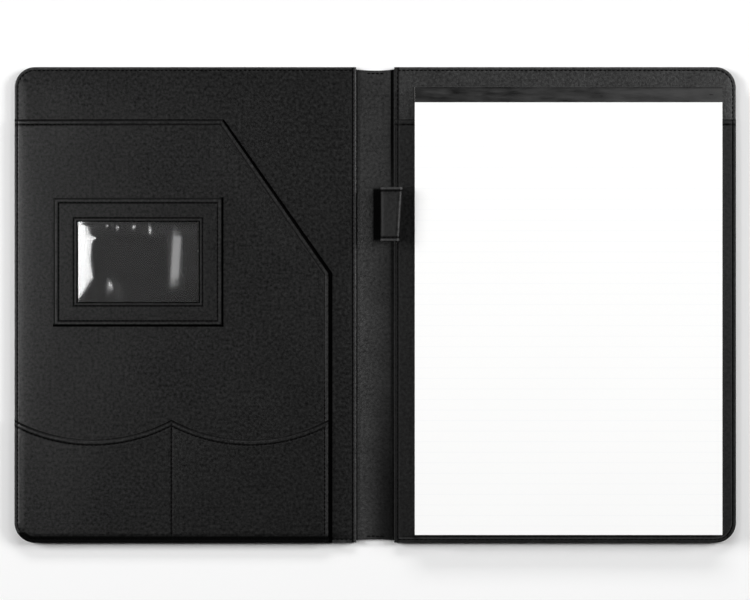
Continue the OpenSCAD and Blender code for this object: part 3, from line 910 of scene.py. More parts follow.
def document_rise(s, y):
    """Share of the document pocket's padded rise from the rim."""
    return soft_least(swell(COVER_W - s), pillow(y - FOOT, FOOT_RISE))


def document_slack(s, y, free, edge):
    """What the slack adds: waves away from the edges and the window, and a lift along the mouth."""
    beside, above = np.abs(s - window_s) - window_half[0], np.abs(y - window_y) - window_half[1]
    off_window = np.hypot(np.maximum(beside, 0), np.maximum(above, 0))
    slack = SLACK * waves(s, y, SLACK_L, 0.5) * ramp(free, 4, 40) * ramp(edge, 6, 40)
    slack = slack * ramp(off_window, 2, 25)
    off_cards = ramp(y, card_high[1] + 4, card_high[1] + 40)
    return slack + MOUTH_LIFT * (1 - ramp(free, 0, 24)) * ramp(edge, 10, 60) * off_cards


def document_pocket():
    """Document pocket on the front cover."""
    by_knee = cut_knee + np.linspace(-8, 8, 33)
    across = [document_in + SHADOW_BAND_LINES, grid_lines(document_in, COVER_W, HEM_LINES), by_knee]
    s, y = pocket_grid(-1, np.concatenate(across), document_line, 44)
    edge = np.minimum(COVER_W - s, y - FOOT)
    below_level, beside_strip = document_high[1] - y, s - document_in
    free = np.minimum.reduce([below_level, (cut_line(s) - y) / cut_slant, beside_strip])
    levels = (pocket_rim, rim_top + CLEAR, document_high[2], document_high[2] - LINING_T)
    on_level, on_strip = free > below_level - SAME, free > beside_strip - SAME
    # darkness of the painted shadow band outside the mouth, how worn each hem is, and painted shade along
    # the foot
    shadow_band = np.where(on_level, LEVEL_SHADOW_BAND, 1.0)
    wear_and_sheen = np.where(on_strip, STRIP_WEAR, np.where(on_level, LEVEL_WEAR, CUT_WEAR))
    marks = shadow_band, wear_and_sheen, foot_rim_shade(y)
    ground, slack = lining_height(s, y) + LINING_WAVE, document_slack(s, y, free, edge)
    shape = s, y, edge, free, levels, document_rise(s, y), ground, slack
    piece = pocket_sheet("document_pocket_panel", -1, *shape, marks, lining_leather)
    put_on(piece, "front_cover", "document_pocket")


document_pocket()

# %% [markdown]
# ## Card pocket
# A low panel across the foot, sewn down the middle into two pockets. The mouth of each dips in a shallow
# arc, so that a thumb reaches the cards. Circles a little larger than the arc give the hem and its seam.

# %% Draw the card pocket's mouths
SCALLOP = 13.5  # depth of a mouth's arc
bay_w = (COVER_W - document_in) / 2
scallop_r = ((bay_w / 2) ** 2 + SCALLOP**2) / (2 * SCALLOP)
scallop_y = card_high[1] + scallop_r - SCALLOP
divider = document_in + bay_w


def bay_offset(s):
    """Distance from the middle of the bay that a point is in."""
    return np.abs(s - np.where(s < divider, divider - bay_w / 2, divider + bay_w / 2))


def scallop_line(s, inset):
    """Mouth of the card pockets moved in: an arc of a larger circle below each bay's centre."""
    return scallop_y - np.sqrt((scallop_r + thin_inset(inset)) ** 2 - bay_offset(s) ** 2)


print(f"two bays of {bay_w:.1f} mm with mouths of radius {scallop_r:.1f} mm")

# %% Make the card pocket
STRIP_W, STRIP_PRESS = 4.0, 0.15  # sewn strip at the spine side, and how flat it is pressed
CARD_BELLY, CARD_PRESS = 0.5, 0.55  # how far a bay bulges, and how flat it lies by the outer edge
DIVIDER_DIP, DIVIDER_HALF = 0.1, 0.9  # how deep the stitches between the two bays pull, and how wide
MOUTH_SHADOW_BAND = 0.35, 0.5  # darkness of the painted shadow band in the middle of a mouth, and what its ends add
MOUTH_WEAR = 0.3  # wear of the mouths' hems
BAY_SEAM, BAY_SEAM_HALF = 0.82, 0.8  # how dark the seam between the bays is, and its half width
STRIP_SHADE, STRIP_IN = 0.4, (1.6, 2.2)  # how dark the painted shade on the sewn strip is, and where that sets in
PANEL_WAVE = 0.15  # room that the panel below has to wave in


def card_belly(s, y):
    """Bulge of a bay: a cosine across it that grows evenly from the foot to the mouth."""
    height = (y - FOOT) / (card_high[1] - FOOT)
    return CARD_BELLY * np.cos(np.pi * bay_offset(s) / bay_w) * height


def divider_dip(s):
    """Dip at the stitches between the bays."""
    return DIVIDER_DIP * bell(s, divider, DIVIDER_HALF)


def card_pocket():
    """Card pockets at the foot of the front cover."""
    near = np.concatenate([-HEM_LINES[:16], HEM_LINES[:16]])
    across = [grid_lines(document_in, COVER_W, HEM_LINES, step=3.0), divider + near]
    s, y = pocket_grid(-1, np.concatenate(across), scallop_line, 10)
    edge = np.minimum(COVER_W - s, y - FOOT)
    mouth = np.hypot(bay_offset(s), scallop_y - y) - scallop_r
    strip = s - document_in
    free = np.minimum(mouth, strip)
    levels = (card_rim, pocket_rim + CLEAR, card_high[2], card_high[2] - LINING_T)
    pressed = divider_dip(s) + STRIP_PRESS * (1 - ramp(strip, STRIP_W - 1.2, STRIP_W + 3))
    pressed += CARD_PRESS * (1 - ramp(COVER_W - s, 10, 60))
    rise = soft_least(pillow(COVER_W - s, CARD_RISE, 4), pillow(y - FOOT, FOOT_RISE))
    ground = pocket_rim + (document_high[2] - pocket_rim) * document_rise(s, y)
    ground = ground - rim_groove(edge) + PANEL_WAVE
    between_bays = BAY_SEAM * bell(s, divider, BAY_SEAM_HALF) * ramp(mouth, 0, 1)
    # the seam between the bays, and painted shade along the sewn strip and the rim along the foot
    strip_shade = STRIP_SHADE * soft_strip(strip, STRIP_IN, (STRIP_W - 1, STRIP_W + 1))
    dull = np.maximum.reduce([between_bays, strip_shade, foot_rim_shade(y)])
    in_mouth = MOUTH_SHADOW_BAND[0] + MOUTH_SHADOW_BAND[1] * bay_offset(s) / (bay_w / 2)
    shadow_band, wear_and_sheen = (1.0, in_mouth), (STRIP_WEAR, MOUTH_WEAR)  # along the strip, along a mouth
    marks = np.where(strip < mouth, *shadow_band), np.where(strip < mouth, *wear_and_sheen), dull
    shape = s, y, edge, free, levels, rise, ground, card_belly(s, y) - pressed
    piece = pocket_sheet("card_pocket_panel", -1, *shape, marks, lining_leather)
    put_on(piece, "front_cover", "card_pocket")


card_pocket()

# %% [markdown]
# ## Pad pocket
# The panel on the right that holds the pad: the pad's backing board slides behind it from the head. It is
# full, so it steps up close to its seams. Its margins by the spine, the outer edge and the foot, and the
# line round the pad, are darkened with painted shade.

# %% Make the pad pocket
PAD_SEAM, PAD_SEAM_HALF = 0.95, 0.65  # how dark its side seams are, and their half width
SPINE_MARGIN_SHADE, EDGE_MARGIN_SHADE, FOOT_MARGIN_SHADE = 0.6, 0.18, 0.4  # how dark the painted shade on its margins is
SPINE_END, EDGE_END, FOOT_END = (1.4, 2.0), (9, 12), (1.8, 3.1)  # the soft edges at which they end
PAD_SHADOW_BAND, PAD_WEAR = 0.55, 0.05  # darkness of the painted shadow band along its mouth, and wear of its hem


def pad_pocket_line(s, inset):
    """Level top edge of the pad pocket moved in."""
    return np.full_like(s, pocket_high[1] - thin_inset(inset))


def pad_pocket():
    """Pad pocket on the back cover."""
    s, y = pocket_grid(1, grid_lines(0, COVER_W), pad_pocket_line, 44)
    edge = np.minimum.reduce([s, COVER_W - s, y - FOOT])
    levels = (pocket_rim, rim_top + CLEAR, pocket_high[2], pocket_high[2] - LINING_T)
    side_in, step_in = np.minimum(s, COVER_W - s), STITCH_IN + 0.2
    rise = soft_least(ramp(side_in, step_in, PAD_RISE), pillow(y - FOOT, RIM_W - 0.4))
    seams = PAD_SEAM * bell(side_in, step_in, PAD_SEAM_HALF)
    # painted shade on the margins by the spine, the outer edge and the foot
    spine_edge_shade = SPINE_MARGIN_SHADE * (1 - ramp(s, *SPINE_END))
    edge_margin_shade = EDGE_MARGIN_SHADE * (1 - ramp(COVER_W - s, *EDGE_END))
    foot_margin_shade = FOOT_MARGIN_SHADE * (1 - ramp(y - FOOT, *FOOT_END))
    dull = np.maximum.reduce([seams, spine_edge_shade, edge_margin_shade, foot_margin_shade, pad_edge_shadow(SPINE_EDGE + s, y)])
    shape = s, y, edge, pocket_high[1] - y, levels, rise, lining_height(s, y) + LINING_WAVE, 0.0
    piece = pocket_sheet("pad_pocket_panel", 1, *shape, (PAD_SHADOW_BAND, PAD_WEAR, dull), pocket_leather_painted_tone)
    put_on(piece, "back_cover", "pad_pocket")


pad_pocket()

# %% [markdown]
# ## Card window
# A leather frame holds a clear film over a business card. The frame is one profile carried round a
# rectangle: a thick folded edge that is sewn down on three sides, a border pared thin over the film, and
# a seam by the opening. On the side towards the spine the frame isn't sewn down, so a card slides in there.

# %% Draw a band round a rectangle
film_low, film_high = corners("window_film")
FILM_LAP = 5.0  # film under the frame
open_low, open_high = film_low[:2] + FILM_LAP, film_high[:2] - FILM_LAP
border_w = open_low[0] - window_low[0]


def rectangle_loop(count):
    """Once round a unit square, anticlockwise, with points closer together at its corners."""
    t = 0.5 - 0.5 * np.cos(np.pi * np.arange(count) / count)
    zero, one = np.zeros(count), np.ones(count)
    return np.concatenate([t, one, 1 - t, zero]), np.concatenate([zero, t, one, 1 - t])


def closed_band(top, bottom):
    """Points and faces of a band whose columns go all the way round: two grids and a wall at each edge."""
    count = top.shape[0] * top.shape[1]
    index = np.arange(count).reshape(top.shape[:2])
    index = np.concatenate([index, index[:, :1]], 1)
    outer, inner = index[0], index[-1]
    outer_wall = np.stack([outer[:-1] + count, outer[1:] + count, outer[1:], outer[:-1]], -1)
    inner_wall = np.stack([inner[:-1], inner[1:], inner[1:] + count, inner[:-1] + count], -1)
    faces = np.concatenate([quads(index), quads(index + count)[:, ::-1], outer_wall, inner_wall])
    return np.concatenate([top.reshape(-1, 3), bottom.reshape(-1, 3)]), faces


print(f"the window's border is {border_w:.1f} mm wide")

# %% Make the window frame
LIP_T = 0.38  # leather over the film
FRAME_HEM = 0.5  # share of a pocket's hem that the frame's hems have
FRAME_SHADOW_BAND = 0.5  # share of a pocket's painted shadow band that lies outside the frame
THIN_SHADE = 0.8  # how dark the painted shadow band is on the sides that face the light
FRAME_SEAM, FRAME_SEAM_HALF = 0.9, 0.6  # how dark the frame's seams are, and their half width
FRAME_WEAR = 0.4  # wear of its hems
LIP_EDGE = 0.5, 1.1  # its lip is dull up to the soft edge between these


def frame_marks(x, y, inset):
    """Worn and dull places of the frame: its hems, its seams, its lip, and a painted shadow band outside it
    that is black at its right and its foot and thin elsewhere."""
    near = np.minimum(inset, border_w - inset)
    lip = 1 - ramp(border_w - inset, *LIP_EDGE)
    # painted shadow band: black at the right and the foot, thinner and paler elsewhere
    shaded = np.maximum(ramp(x - window_high[0], -1, 0), ramp(window_low[1] - y, -1, 0))
    shadow_band = shaded + (1 - shaded) * THIN_SHADE * ramp(inset, -0.95, -0.6)
    seams = seam_mark(near, HEM_STITCH_IN, FRAME_SEAM, FRAME_SEAM_HALF)
    return FRAME_WEAR * hem_rub(near), np.maximum.reduce([seams, shadow_band * raw_edge_and_shadow(inset), lip])


def window_frame():
    """Frame of the card window: its profile carried round the opening."""
    inset = grid_lines(0, border_w, NARROW_LINES, NARROW_LINES, 1.5)
    inset = np.concatenate([FRAME_SHADOW_BAND * SHADOW_BAND_LINES, inset])[:, None]
    across, along = rectangle_loop(30)
    size = window_high[:2] - window_low[:2]
    x = window_low[0] + inset + across * (size[0] - 2 * inset)
    y = window_low[1] + inset + along * (size[1] - 2 * inset)
    inset = inset + 0 * x
    sewn_side = np.minimum.reduce([x - window_low[0], y - window_low[1], window_high[1] - y])
    top = window_high[2] + FRAME_HEM * (hem_height(inset) + hem_height(border_w - inset))
    low = document_high[2] + 0.02
    film_in = border_w - FILM_LAP  # from the frame's edge to the film
    bottom = low + (window_high[2] - LIP_T - low) * ramp(sewn_side, HEM_STITCH_IN, film_in - 0.5)
    top, bottom = between((top + bottom) / 2, top, bottom, rounded(border_w - inset, 0.5))
    top, bottom = lay_shadow_band(top, bottom, inset, low)
    points, faces = closed_band(np.stack([x, y, top], -1), np.stack([x, y, bottom], -1))
    rub, sewn = (both_sides(mark) for mark in frame_marks(x, y, inset))
    cut = both_sides(np.stack([x, y], -1))
    piece = new_piece("window_border", points, [faces], lining_leather, cut, rub=rub, sewn=sewn)
    put_on(piece, "front_cover", "window_frame")
    print("window border:", len(faces), "faces")


window_frame()

# %% [markdown]
# ## Clear film
# The film is soft clear plastic. It never lies quite flat: it stands up along its left side, has a ridge
# at its right and a few dents, and these throw the light back as white shapes. The wave is in the mesh.
# A thin film mirrors at both its faces. A ray that has to find a lamp through the upper face does so only
# by chance and leaves specks, so the upper face mirrors for both and the lower one lets all light through.

# %% Shape the film
FILM_SLOPE = 0.18  # slope that mirrors a soft box to the camera, at the wedge and at the ridge
WEDGE_W, WEDGE_FOOT, WEDGE_TAPER = 7.4, 1.7, 18.0  # the left wedge: added width, width at its foot, taper
WEDGE_BULGES = (17, 6, 1.6), (41, 4, 1.3), (44, 2.8, 3.6)  # height up, half height and reach of each
WEDGE_HEAD = 2.0  # how much narrower it is at its head
SINK = (0.62, 12, 32), (0.2, 32, 60)  # shares of the wedge's rise that are lost, from where to where
RIDGE_SLANT = 0.06
RIDGE_START, RIDGE_STOP = (62.5, 66), (68.5, 72.5)  # across: where its slope sets in and dies away
RIDGE_FOOT, RIDGE_HEAD = (0, 20), (44, 56)  # and up: the same at its two ends
DENTS = np.array(  # place across and up, half width, half height and rise of each dent
    [
        [21.8, 53, 2.0, 2.6, 0.58],
        [29.2, 51.5, 2.2, 3.0, 0.62],
        [40.6, 52, 2.2, 2.8, 0.58],
        [51, 50, 1.8, 4.5, 0.46],
        [25.6, 8, 4.8, 9.5, 1.38],
    ]
)


def film_height(u, v):
    """Rise of the film, u and v millimetres in from the opening's left and foot edges: its slope across,
    summed up from the left. It rises over the width of the left wedge, sinks back, and rises again at a
    slanting ridge. Each dent adds a bell."""
    width, length = open_high - open_low
    step = np.gradient(u, axis=1)
    wedge_w = WEDGE_W + sum(reach * bell(v, up, half) for up, half, reach in WEDGE_BULGES)
    wedge_w = wedge_w - WEDGE_HEAD * bell(v, length, 5)
    wedge_w = WEDGE_FOOT + wedge_w * (1 - (1 - np.clip(v / WEDGE_TAPER, 0, 1)) ** 2)
    wedge = FILM_SLOPE * soft_strip(u, (-0.6, 0.2), (wedge_w - 4, wedge_w + 4))
    kept = 1 - sum(share * ramp(u, start, end) for share, start, end in SINK)
    slanted = u - RIDGE_SLANT * (v - length / 2)
    ridge = FILM_SLOPE * soft_strip(slanted, RIDGE_START, RIDGE_STOP) * soft_strip(v, RIDGE_FOOT, RIDGE_HEAD)
    rise = np.cumsum(wedge * step, 1) * kept + np.cumsum(ridge * step, 1) * (1 - ramp(u, 72, 83))
    across, up, half_u, half_v, high = DENTS.T[:, :, None, None]
    rise += np.sum(high * bell(u, across, half_u) * bell(v, up, half_v), 0)
    rise *= 1 - 0.12 * (1 - ramp(length - v, 0, 3))
    return rise * ramp(v, -4, 0) * ramp(length - v, -4, 0) * ramp(width - u, -4, 0)


def scuffs(u, v):
    """Scuffed places of the film: all but the clean wedge at the left, more at the dents and most along the
    ridge."""
    ridge = soft_strip(u, (58, 64), (70, 76)) * soft_strip(v, (4, 14), RIDGE_HEAD)
    dents = np.maximum(bell(u, 23, 6) * bell(v, 7, 10), ramp(v, 42, 48))
    return ramp(u, 2, 11) * (0.3 + np.maximum(0.7 * ridge, 0.35 * dents))


print("dents in the film:", len(DENTS))

# %% Make the film
FILM_PATCH, PATCH_HAZE = 9.0, 0.02  # size of its cloudy patches, and the haze that they add
FACE_IOR, BACK_IOR = 1.85, 1.01  # the upper face mirrors for both faces
FILM_HAZE = 0.1, 0.3  # roughness of the clean and of the scuffed film


def clear_film(name, ior):
    """Clear film, hazier where it is scuffed. The ior sets how much its surface mirrors."""
    plain = {"Base_Color": grey(0.97), "IOR": ior, "Transmission_Weight": 0.99}
    material, tree, shader = new_material(name, **plain)
    haze = calculate(tree, "MULTIPLY", noise(tree, cut_place(tree), FILM_PATCH, 1.0), PATCH_HAZE)
    scuffed = remap(tree, mark_on(tree, "rub"), 0, 1, *FILM_HAZE)
    feed(tree, shader, Roughness=calculate(tree, "ADD", haze, scuffed))
    return material


def window_film():
    """Film behind the frame: one wavy sheet of even thickness."""
    size = film_high - film_low
    lines = [np.linspace(film_low[i], film_high[i], 2 * round(size[i]) + 1) for i in (0, 1)]
    x, y = np.meshgrid(*lines)
    u, v = x - open_low[0], y - open_low[1]
    bottom = document_high[2] + 0.05 + film_height(u, v)
    face = clear_film("clear_film", FACE_IOR)
    piece = sheet_piece("window_film_sheet", x, y, bottom + size[2], bottom, face, scuffs(u, v))
    piece.data.materials.append(clear_film("film_back", BACK_IOR))
    side_faces = (x.shape[0] - 1) * (x.shape[1] - 1)
    number = np.arange(len(piece.data.polygons))
    underneath = (number >= side_faces) & (number < 2 * side_faces)
    piece.data.polygons.foreach_set("material_index", underneath.astype(np.int32))
    put_on(piece, "front_cover", "window_film")


window_film()

# %% [markdown]
# ## Pen loop
# The loop is one strap: up from the seam, round where the pen goes, and down to the seam again. An empty
# loop is pressed flat in the shut folder, so its line is two straight necks and an outline with a flat
# top, drawn as points and then averaged along the line, so that each turn is as soft as in a real strap.
# The strap is that line with a thickness, carried along the pen, with a hem at both ends.

# %% Draw the loop's line
STRAP_T = 0.9
LOOP_CORNERS = np.array(  # outline of the leaning loop from its middle: across, up
    [[-4.6, -4.2], [-8.1, -0.8], [-8.0, 0.8], [-6.9, 1.6], [5.0, 4.5], [6.2, 2.8], [5.4, -3.1]]
)
LOOP_REACH = 9.9  # from the seam to the middle of the ring
LOOP_LEAN = math.radians(13)
LOOP_NARROW = 2.3  # how much narrower the loop is at its foot
LOOP_POINTS, LOOP_SOFTEN = 121, 4  # points along the strap, and over how many each way a turn is averaged
NECK_FOOT, NECK_TOP = -0.7, 2.3
lean_cos, lean_sin = math.cos(LOOP_LEAN), math.sin(LOOP_LEAN)
loop_root = next(np.array(j["pos_m"]) / MM for j in frame["joints"] if j["name"] == "pen_loop_lean")


def running_length(points):
    """Length along a line up to each of its points."""
    return np.concatenate([[0], np.cumsum(np.linalg.norm(np.diff(points, axis=0), axis=1))])


def even_points(points, count):
    """A given count of points evenly along a line through the given points."""
    along = running_length(points)
    at = np.linspace(0, along[-1], count)
    return np.stack([np.interp(at, along, column) for column in points.T], -1)


def soft_line(points, count, soften):
    """Even points along a line whose bends are averaged over that many points each way; its ends stay."""
    line = even_points(points, count)
    ends = 2 * line[0] - line[soften:0:-1], 2 * line[-1] - line[-2 : -2 - soften : -1]
    window = np.full(2 * soften + 1, 1 / (2 * soften + 1))
    padded = np.concatenate([ends[0], line, ends[1]])
    return np.stack([np.convolve(column, window, "valid") for column in padded.T], -1)


def line_normals(line):
    """Unit normals to the left of a flat line."""
    along = np.gradient(line, axis=0)
    return np.stack([-along[:, 1], along[:, 0]], -1) / np.linalg.norm(along, axis=1, keepdims=True)


def loop_line(narrow):
    """Neck, ring and neck in the loop's own upright frame, from the seam up the spine's side and down again.
    The ring is a pressed outline with a flat top, and narrow draws its right side in."""
    pressed = LOOP_CORNERS - narrow * (LOOP_CORNERS[:, :1] > 0) * np.array([1.0, 0.0])
    ring = pressed @ np.array([[lean_cos, -lean_sin], [lean_sin, lean_cos]]) + np.array([0, LOOP_REACH])
    neck = np.array([[-STRAP_T / 2, NECK_FOOT], [-STRAP_T / 2, NECK_TOP]])
    return soft_line(np.concatenate([neck, ring, neck[::-1] * [-1, 1]]), LOOP_POINTS, LOOP_SOFTEN)


def strap_place(y, offset):
    """Places of the strap's points at heights y, an offset out from its middle: the line for the foot and
    the line for the head, mixed by y, and leaned over the spine."""
    foot_line, head_line = loop_line(LOOP_NARROW), loop_line(0.0)
    share = ((y - loop_low[1]) / (loop_high[1] - loop_low[1]))[..., None]
    line = foot_line + share * (head_line - foot_line)
    normals = line_normals(foot_line) + share * (line_normals(head_line) - line_normals(foot_line))
    across, up = np.moveaxis(line + offset[..., None] * normals, -1, 0)
    x = loop_root[0] + across * lean_cos - up * lean_sin
    z = loop_root[2] + across * lean_sin + up * lean_cos
    return np.stack([x, y + 0 * x, z], -1)


print(f"strap at the loop's foot: {running_length(loop_line(LOOP_NARROW))[-1]:.1f} mm long")

# %% Make the pen loop
LOOP_BEND, LOOP_BEND_HALF = 0.66, 0.012  # how far round the strap its right side turns down, where the painted highlight lies, and how narrow it is
# wear of the loop's hems, and the grey of the painted highlight along its right bend
LOOP_HEM_WEAR, LOOP_BEND_HIGHLIGHT = 1.5, 2.0
LOOP_NECK = 0.08, 0.2  # shares of the strap's length where its hems set in at either end


def pen_loop():
    """Strap of the pen loop, with hems at both ends."""
    y = grid_lines(loop_low[1], loop_high[1], NARROW_LINES, NARROW_LINES, 2.0)[:, None]
    free = np.minimum(y - loop_low[1], loop_high[1] - y)
    around = np.linspace(0, 1, LOOP_POINTS)
    ring = ramp(around, *LOOP_NECK) * ramp(1 - around, *LOOP_NECK)
    out = (STRAP_T / 2 + hem_height(free) * ring) * rounded(free, 0.5)
    back = -STRAP_T / 2 * rounded(free, 0.5) + 0 * out
    points, faces = closed_sheet(strap_place(y, out), strap_place(y, back))
    length = running_length(loop_line(LOOP_NARROW / 2))
    cut = both_sides(np.stack(np.broadcast_arrays(length[None], y), -1))
    # worn hems at both ends, and a painted highlight along the right bend
    wear_and_sheen = LOOP_HEM_WEAR * bell(free, 0.9, 0.55) + LOOP_BEND_HIGHLIGHT * bell(around, LOOP_BEND, LOOP_BEND_HALF)
    sewn = both_sides(np.broadcast_to(seam_mark(free, HEM_STITCH_IN), out.shape))
    piece = new_piece("pen_loop_strap", points, [faces], loop_leather, cut, rub=both_sides(wear_and_sheen), sewn=sewn)
    put_on(piece, "pen_loop", "pen_loop")
    print(f"pen loop: strap {length[-1]:.1f} mm long, {len(faces)} faces")


pen_loop()

# %% [markdown]
# ## Stitches
# A seam is a row of short stitches, each of which rises from one hole and dives into the next. Each is a
# small six-sided tube that is thick in the middle and thin at its ends, so a row of hundreds stays light.
# All stitches of a row are worked out in one array: stitch by station by corner.

# %% Sew along a line
STITCH_PITCH, STITCH_LENGTH = 3.0, 2.4
THREAD_R = 0.4
ARCH, ARCH_SUNK = 0.28, 0.12  # how far a stitch's middle rises, and how deep its ends lie
STATIONS = np.linspace(-1, 1, 5)
SIDES = 6


def stitch_row(line, up):
    """Points, faces and cut map of the stitches along a line; up is the direction out of the leather. With t
    from -1 to 1 along a stitch, its middle rises as 1 - t^2 and its radius as the root of 1 - 0.8 t^2."""
    along = running_length(line)
    count = max(1, round(along[-1] / STITCH_PITCH))
    middle = (np.arange(count) + 0.5) * along[-1] / count
    at = middle[:, None] + STATIONS * STITCH_LENGTH / 2
    spot = np.stack([np.interp(at, along, column) for column in line.T], -1)
    out = np.stack([np.interp(at, along, column) for column in np.broadcast_to(up, line.shape).T], -1)
    ahead = np.repeat(spot[:, -1:] - spot[:, :1], len(STATIONS), 1)
    ahead /= np.linalg.norm(ahead, axis=-1, keepdims=True)
    beside = np.cross(out, ahead)
    arch = ARCH * (1 - STATIONS**2) - ARCH_SUNK
    radius = THREAD_R * np.sqrt(1 - 0.8 * STATIONS**2)
    turn = 2 * np.pi * np.arange(SIDES) / SIDES
    round_part = np.cos(turn)[:, None] * beside[:, :, None] + np.sin(turn)[:, None] * out[:, :, None]
    points = (spot + arch[:, None] * out)[:, :, None] + radius[:, None, None] * round_part
    size = len(STATIONS) * SIDES
    index = np.arange(size).reshape(len(STATIONS), SIDES)
    tube = quads(np.concatenate([index, index[:, :1]], 1))
    caps = np.stack([index[0, ::-1], index[-1]])
    start = size * np.arange(count)[:, None, None]
    cut = np.stack(np.broadcast_arrays(at[:, :, None], turn), -1).reshape(-1, 2)
    return points.reshape(-1, 3), (start + tube).reshape(-1, 4), (start + caps).reshape(-1, SIDES), cut


def sew(name, rows, body, node_name, up=(0.0, 0.0, 1.0)):
    """One piece of thread from several rows, each a line or a line with its own directions out."""
    points, tubes, caps, cuts, start = [], [], [], [], 0
    for row in rows:
        line, out = row if isinstance(row, tuple) else (row, np.array(up))
        row_points, row_tubes, row_caps, row_cut = stitch_row(line, out)
        points.append(row_points)
        tubes.append(row_tubes + start)
        caps.append(row_caps + start)
        cuts.append(row_cut)
        start += len(row_points)
    faces = [np.concatenate(tubes), np.concatenate(caps)]
    piece = new_piece(name, np.concatenate(points), faces, black_thread, np.concatenate(cuts))
    put_on(piece, body, node_name)
    print(f"{name}: {start // (len(STATIONS) * SIDES)} stitches")


print(f"a stitch every {STITCH_PITCH:.1f} mm")

# %% [markdown]
# ## Seams of the covers
# Each cover has a seam all round, outside and inside. Inside, it climbs over the pockets where their
# edges are caught in it, so its height is that of the uppermost layer at each point.

# %% Sew the covers' edges
SUNK = 0.3  # how far a stitch's middle lies below the leather beside it
LINE_POINTS = 2000  # points along the line of a seam
OUTSIDE_Z, LAP_Z = 0.6, 0.64  # heights of the stitches outside, and under the spine's lap


def at_height(points, height):
    """Flat points with a height of their own."""
    return np.column_stack([points, np.broadcast_to(height, len(points))])


def rim_line(side):
    """Once round a cover inside its edge: straight runs, with a quarter circle at each outer corner."""
    radius = CORNER_R - STITCH_IN
    turn = np.linspace(0, math.pi / 2, 24)
    far = COVER_W - CORNER_R
    foot_arc = np.stack([far + radius * np.sin(turn), FOOT + CORNER_R - radius * np.cos(turn)], -1)
    head_arc = np.stack([far + radius * np.cos(turn), HEAD - CORNER_R + radius * np.sin(turn)], -1)
    start, end = [[STITCH_IN, FOOT + STITCH_IN]], [[STITCH_IN, HEAD - STITCH_IN]]
    line = even_points(np.concatenate([start, foot_arc, head_arc, end, start]), LINE_POINTS)
    return np.column_stack([side * (SPINE_EDGE + line[:, 0]), line[:, 1]])


def below(y, top):
    """1 below the top edge of a pocket, 0 above it, with a short step between."""
    return 1 - ramp(y, top - 0.5, top + 0.5)


def top_layer(points, side):
    """Height of the rim's uppermost layer: the lining, or the pockets that are caught in the seam."""
    x, y = points.T
    if side > 0:
        return rim_top + (pocket_rim - rim_top) * below(y, pocket_high[1])
    on_document = below(y, document_high[1]) * (x < document_high[0])
    on_card = below(y, card_high[1]) * (x < card_high[0])
    return rim_top + (pocket_rim - rim_top) * on_document + (card_rim - pocket_rim) * on_card


for cover_name, cover_side in COVERS:
    body_name = cover_name + "_cover"
    seam = rim_line(cover_side)
    inside_row = at_height(seam, top_layer(seam, cover_side) - SUNK)
    sew(cover_name + "_edge_thread", [inside_row], body_name, cover_name + "_edge_stitching")
    under_lap = np.abs(seam[:, 0]) < SPINE_EDGE + LAP_W
    outside_row = at_height(seam, np.where(under_lap, LAP_Z, OUTSIDE_Z))
    outside_name, outside_node = cover_name + "_outside_thread", cover_name + "_outer_stitching"
    sew(outside_name, [outside_row], body_name, outside_node, (0.0, 0.0, -1.0))

# %% [markdown]
# ## Seams of the pockets, the window, the spine and the loop
# Each hem has its seam in the dip that was modelled for it. The lines are the pockets' own edges moved in.

# %% Sew the pockets
hem_floor = HEM_RISE / 2 - HEM_GROOVE + 0.05  # middle of a stitch above a hemmed panel
seam_end = RIM_W - LINING_T  # from a cover's edge to the end of a hem's seam
strip_s = document_in + HEM_STITCH_IN


def level_line(points, height):
    """Even points along a line through flat points, at one height."""
    return at_height(even_points(np.array(points, float), LINE_POINTS), height)


def front_x(s):
    """Place across of a point s from the spine edge of the front cover."""
    return -SPINE_EDGE - s


knee_s = cut_knee + HEM_STITCH_IN * (cut_slant - 1) * CUT_W / CUT_L
document_seam = [[front_x(strip_s), card_high[1] + 1]]
seam_places = strip_s, knee_s, COVER_W - seam_end
document_seam += [[front_x(s), document_line(s, HEM_STITCH_IN)] for s in seam_places]
document_row = level_line(document_seam, document_high[2] + hem_floor)
sew("document_pocket_thread", [document_row], "front_cover", "document_pocket_stitching")

mouth_s = np.linspace(document_in + STRIP_W, COVER_W - seam_end, 400)
mouth_line = np.column_stack([front_x(mouth_s), scallop_line(mouth_s, HEM_STITCH_IN)])
mouth_z = card_high[2] + hem_floor + card_belly(mouth_s, mouth_line[:, 1]) - divider_dip(mouth_s)
low_y, high_y = FOOT + RIM_W, card_high[1] - HEM_STITCH_IN - 1
upright_rows = [
    level_line([[front_x(s), low_y], [front_x(s), high_y]], card_high[2] + lift)
    for s, lift in ((divider, -0.05), (strip_s, hem_floor - 0.1))
]
card_rows = [at_height(mouth_line, mouth_z)] + upright_rows
sew("card_pocket_thread", card_rows, "front_cover", "card_pocket_stitching")

pocket_y = pocket_high[1] - HEM_STITCH_IN
pocket_ends = [[SPINE_EDGE + s, pocket_y] for s in (seam_end, COVER_W - seam_end)]
pocket_row = level_line(pocket_ends, pocket_high[2] + hem_floor)
sew("pad_pocket_thread", [pocket_row], "back_cover", "pad_pocket_stitching")

# %% Sew the window, the spine and the loop
MOUTH_GAP = 2.5  # from the frame's seam to the row along its open side
SPINE_ROW = 5.9  # half the length of the rows at the spine's ends
LOOP_TOP = slice(48, 100)  # points of the strap's line that show from above

